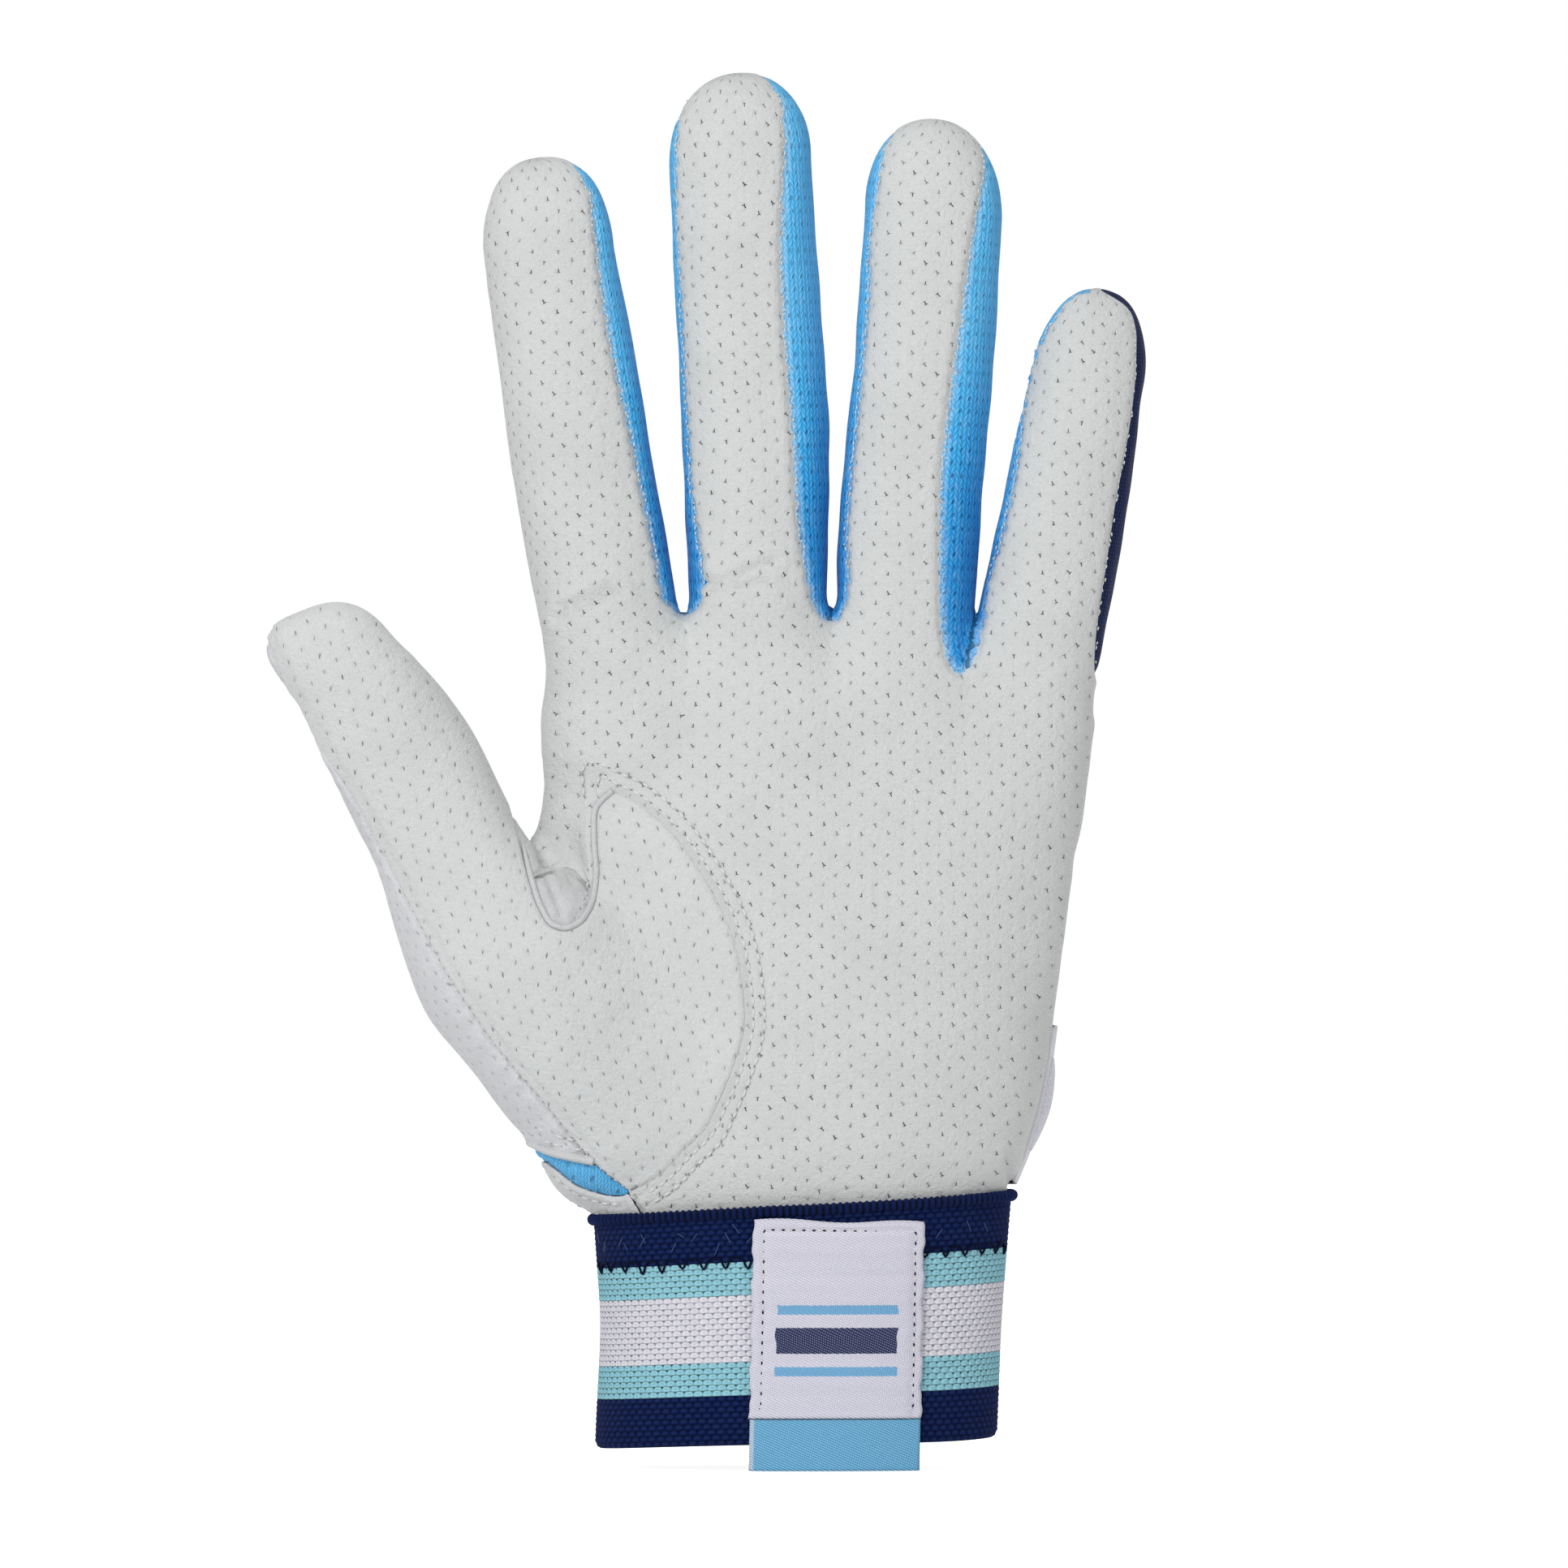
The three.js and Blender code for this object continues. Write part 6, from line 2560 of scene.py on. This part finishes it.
    def front_turn(self, x: Array, level: Array) -> Array:
        """Angle on the front of the cuff at a place across it.

        Args:
            x: Places across.
            level: Heights.

        Returns:
            The angles.
        """
        radial, ulnar, _, _ = self.sizes.read(level)
        part = x / np.where(x < 0, radial, ulnar)
        return np.arcsin(np.clip(np.sign(part) * np.abs(part) ** (self.power / 2), -1, 1))

    def ribbon(self, name: str, low: float, high: float, lift: Callable[[Array, Array], Array], thick: float,
               finish: Material) -> bpy.types.Object:
        """A woven strip on the front of the cuff.

        Args:
            name: The piece's name.
            low: Its lower edge.
            high: Its upper edge.
            lift: Height over the cuff, from shares across and up.
            thick: Its thickness.
            finish: Its finish.

        Returns:
            The strip, closed and smooth.
        """
        made, across, up = grid_sheet(name, 56, max(12, int((high - low) * 1.9)))
        level = low + (high - low) * up
        level = level + np.where(up > 0.98, 0.25 * np.sin(across * 9.0) - 0.5 * across, 0.0) * (high > 20)
        slant = -0.022 * (37.0 - level)
        wavy = 0.14 * np.sin(level * 0.9 + 2.0 * across) + 0.08 * np.sin(level * 2.3) if high > 20 else 0.0
        x = self.label_left + 0.35 + slant * 0.9 + (self.label_right - self.label_left) * across + wavy
        turn = self.front_turn(x, np.maximum(level, 0.0))
        spot = self.surface(turn, np.maximum(level, 0.3), lift(across, up))
        spot[:, 2] = level
        place_points(made, spot)
        set_map(made, np.stack([(across - 0.5) * (self.label_right - self.label_left), level], axis=1))
        thicken(made, thick, finish)
        return made

    def label(self) -> None:
        """Woven label with its sewn border."""
        def lift(across: Array, up: Array) -> Array:
            """Height over the cuff, low along the sewn border.

            Args:
                across: Shares across the label.
                up: Shares up it.

            Returns:
                The heights.
            """
            edge = np.minimum.reduce([across, 1 - across, (1 - up) * 1.2])
            border = 0.25 * ramp(edge, 0.0, 0.05) - 0.28 * np.exp(-(((edge - 0.055) / 0.02) ** 2))
            return 0.55 + border + 0.05 * np.sin(across * 7 + up * 9)

        made = self.ribbon("woven_label_ribbon", self.fold, self.label_top, lift, 0.5, self.finishes.label)
        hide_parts("woven_label")
        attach(made, "hand")
        inset = 1.5
        left, right = self.label_left + inset, self.label_right - inset
        corners = np.array([(left, 6.6), (left + 0.55, 35.6), (right + 0.5, 35.2), (right, 6.6), (left, 6.6)])
        line = spaced(corners, 0.82)
        turn = self.front_turn(line[:, 0], line[:, 1])
        at = self.surface(turn, line[:, 1], np.full(len(line), 1.14))
        normal = self.out(turn, line[:, 1])
        threads = self.stitcher.border(at, normal, (0.4, 0.17, 0.12), (0.34, 0.16, 0.10), 0.02)
        border = mesh_from("label_border_thread", threads, [self.finishes.white, self.finishes.ink])
        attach(border, "hand")
        LOG.info("woven_label: %d points", len(made.data.vertices))

    def tail(self) -> None:
        """Loose end of the label below the rim."""
        def lift(across: Array, up: Array) -> Array:
            """Height over the cuff, waving towards the loose end."""
            return 0.55 + 0.12 * np.sin(across * 5.0) * (1 - up) + 0.1 * (1 - up)

        top = self.fold - 0.15
        made = self.ribbon("label_tail_ribbon", self.tail_end, top, lift, 0.5, self.finishes.tail)
        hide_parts("label_tail")
        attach(made, "tail")
        LOG.info("label_tail: %d points", len(made.data.vertices))


@dataclass
class Strap:
    """Closure strap over the back, its patches and its tab."""

    form: HandForm
    stitcher: Stitcher
    finishes: Wardrobe
    low: float = 42.5
    high: float = 68.5
    free: float = 87.0
    hinge: float = 218.0
    patch_from: float = 108.0
    patch_to: float = 152.0
    margin: float = 3.5
    ramp_angle: float = 8.0
    lay: float = 0.05
    patch: float = 0.6
    wall: float = 0.6
    tab_from: float = 91.0
    tab_to: float = 106.0
    sewn_from: float = 201.0
    sewn_inset: float = 1.8

    def round_hand(self, turn: Array, level: Array) -> Array:
        """Points round the hand at angles from the front and levels."""
        return np.stack([*section_at(turn, PALM.table.read(level), PALM.power), level], axis=1)

    def spot(self, level: Array, degrees: Array, out: Array) -> Array:
        """Points some way out of the hand, kept clear of the thumb's foot.

        Args:
            level: Heights.
            degrees: Angles from the front.
            out: How far out.

        Returns:
            The points.
        """
        turn = np.radians(degrees)
        way = unit(self.round_hand(turn + 0.01, level) - self.round_hand(turn - 0.01, level))
        normal = np.stack([way[:, 1], -way[:, 0], np.zeros(len(way))], axis=1)
        spot = self.round_hand(turn, level) + normal * out[:, None]
        late = ramp(degrees, self.patch_to + 8.0, self.patch_to + 24.0)
        rise = np.clip(0.2 - self.form.distance(spot), 0.0, 6.0) * late
        return spot + normal * rise[:, None]

    def over(self, degrees: Array) -> Array:
        """Height at which the strap rides over its patches.

        Args:
            degrees: Angles from the front.

        Returns:
            The heights.
        """
        full = 2 * (self.lay + self.patch) + self.lay
        sewn = ramp(self.hinge - degrees, self.ramp_angle / 2, self.hinge - self.patch_to - self.ramp_angle)
        loose = ramp(degrees, self.free, self.patch_from - self.ramp_angle / 2)
        return self.lay + (full - self.lay) * np.minimum(sewn, loose)

    def sheet(self, name: str, node: str, spans: tuple[float, float, float, float],
              lift: Callable[[Array], Array], thick: float, puff: float, finish: Material,
              round_end: float = 0.0) -> None:
        """A strip laid round the hand.

        Args:
            name: The piece's name.
            node: The solid it stands for.
            spans: Lower level, upper level, first angle and last angle.
            lift: Height over the hand, from the angle.
            thick: Its thickness.
            puff: Extra height in its middle.
            finish: Its finish.
            round_end: How far its corners are rounded, as a share of its height.
        """
        low, high, first, last = spans
        made, along, up = grid_sheet(name, int((last - first) * 0.7) + 8, 20)
        side = np.abs(2 * up - 1)
        trim = round_end * np.clip(1 - along / 0.16, 0, 1) ** 2
        level = (low + high) / 2 + (up - 0.5) * (high - low) * (1 - trim)
        degrees = first + (last - first) * along
        crown = puff * (1 - side**2) * np.clip(np.minimum(along, 1 - along) / 0.3, 0, 1) ** 0.5
        place_points(made, self.spot(level, degrees, lift(degrees) + crown))
        set_map(made, np.stack([along * (last - first) * 0.55, level], axis=1))
        thicken(made, thick, finish, 0.25 * thick)
        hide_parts(node)
        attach(made, "hand" if node == "loop_patch" else "strap")
        LOG.info("%s: %d points", node, len(made.data.vertices))

    def sewn_end(self) -> None:
        """Box of stitches that holds the strap's end."""
        low, high = self.low + self.sewn_inset, self.high - self.sewn_inset
        first, last = self.sewn_from, self.hinge - self.sewn_inset
        corners = np.array([(first, low), (first, high), (last, high), (last, low), (first, low)])
        line = spaced(corners, 0.95)
        base = self.spot(line[:, 1], line[:, 0], self.over(line[:, 0]))
        normal = unit(self.spot(line[:, 1], line[:, 0], self.over(line[:, 0]) + 9.0) - base)
        at = base + normal * (self.wall + 0.03)
        threads = self.stitcher.border(at, normal, (0.55, 0.19, 0.13), (0.2, 0.16, 0.06))
        made = mesh_from("strap_end_thread", threads, [self.finishes.white, self.finishes.ink])
        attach(made, "strap")
        LOG.info("strap_end_thread: %d points", len(made.data.vertices))

    def build(self) -> None:
        """Strap, patches and tab."""
        self.sewn_end()
        low, high = self.low + self.margin, self.high - self.margin
        kit, patch = self.finishes, (low, high, self.patch_from, self.patch_to)
        self.sheet("closure_strap_band", "closure_strap",
                   (self.low, self.high, self.free, self.hinge), self.over, self.wall, 0.0, kit.strap, 0.06)
        self.sheet("loop_patch_pile", "loop_patch", patch,
                   lambda d: np.full(d.shape, self.lay), self.patch, 0.0, kit.grip)
        hook = 2 * self.lay + self.patch
        self.sheet("hook_patch_pile", "hook_patch", patch,
                   lambda d: np.full(d.shape, hook), self.patch, 0.0, kit.grip)
        self.sheet("pull_tab_pad", "pull_tab",
                   (low + 2, high - 2, self.tab_from, self.tab_to),
                   lambda d: self.over(d) + self.wall - 0.25, 0.4, 1.0, kit.tab, 0.3)


@dataclass
class Studio:
    """Floor, soft lights, pale surroundings and the camera."""

    floor: float = -3.7
    frame: float = 255.6
    middle: tuple[float, float] = (-2.24, 107.76)
    away: float = 3000.0

    def build(self) -> None:
        """Everything round the glove."""
        scene = bpy.context.scene
        scene.view_settings.view_transform = "Standard"
        self.backdrop()
        self.lights()
        lens = bpy.data.cameras.new("photo_camera")
        lens.sensor_width = 36.0
        lens.lens = 36.0 * self.away / self.frame
        lens.clip_start, lens.clip_end = 0.05, 50.0
        camera = bpy.data.objects.new("photo_camera", lens)
        camera.location = (self.middle[0] * MM, -self.away * MM, self.middle[1] * MM)
        camera.rotation_euler = (math.pi / 2, 0.0, 0.0)
        bpy.context.collection.objects.link(camera)
        scene.camera = camera

    def backdrop(self) -> None:
        """Pale floor and white surroundings."""
        deselect()
        bpy.ops.mesh.primitive_plane_add(size=8.0, location=(0.0, 0.0, self.floor * MM))
        floor = bpy.context.object
        floor.name = "studio_floor"
        bpy.ops.object.transform_apply(location=True, rotation=False, scale=False)
        paint = bpy.data.materials.new("studio_floor")
        paint.use_nodes = True
        shader = paint.node_tree.nodes["Principled BSDF"]
        shader.inputs["Base Color"].default_value = (0.9, 0.9, 0.9, 1.0)
        shader.inputs["Roughness"].default_value = 0.9
        glow = Graph(paint.node_tree)
        path = glow.node("ShaderNodeLightPath")
        shader.inputs["Emission Color"].default_value = (1.0, 1.0, 1.0, 1.0)
        seen = glow.math("MAXIMUM", path.outputs["Is Camera Ray"], path.outputs["Is Glossy Ray"])
        glow.feed(shader.inputs["Emission Strength"], seen * 0.9)
        floor.data.materials.append(paint)
        world = bpy.data.worlds.new("studio_world")
        bpy.context.scene.world = world
        world.use_nodes = True
        graph = Graph(world.node_tree)
        back = world.node_tree.nodes["Background"]
        path = graph.node("ShaderNodeLightPath")
        bright = graph.math("MAXIMUM", path.outputs["Is Glossy Ray"], path.outputs["Is Transmission Ray"])
        seen = graph.math("MAXIMUM", path.outputs["Is Camera Ray"], bright)
        back.inputs["Color"].default_value = (1.0, 1.0, 1.0, 1.0)
        graph.feed(back.inputs["Strength"], 0.44 + seen * 0.56)

    def lights(self) -> None:
        """Large soft lamps in front, above and to the sides."""
        for name, place, aim, size, power in (
                ("key", (-0.68, -1.42, 0.86), (0.0, 0.0, 0.12), 0.8, 14.9),
                ("fill", (0.95, -1.2, 0.7), (0.0, 0.0, 0.14), 1.0, 1.8),
                ("top", (0.1, 0.1, 1.5), (0.0, 0.0, 0.11), 0.8, 3.5)):
            lamp = bpy.data.lights.new(name, "AREA")
            lamp.size, lamp.energy = size, power
            made = bpy.data.objects.new(name, lamp)
            made.location = place
            way = Vector(aim) - Vector(place)
            made.rotation_euler = way.to_track_quat("-Z", "Y").to_euler()
            bpy.context.collection.objects.link(made)


def main() -> None:
    """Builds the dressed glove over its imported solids."""
    logging.basicConfig(level=logging.INFO, format="%(message)s")
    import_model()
    Studio().build()
    form = HandForm()
    finishes = Wardrobe()
    stitcher = Stitcher(form)
    HandShell(Panels(form), stitcher, finishes).build()
    Cuff(finishes, stitcher).build()
    Strap(form, stitcher, finishes).build()
    bpy.context.view_layer.update()


if __name__ == "__main__":
    main()
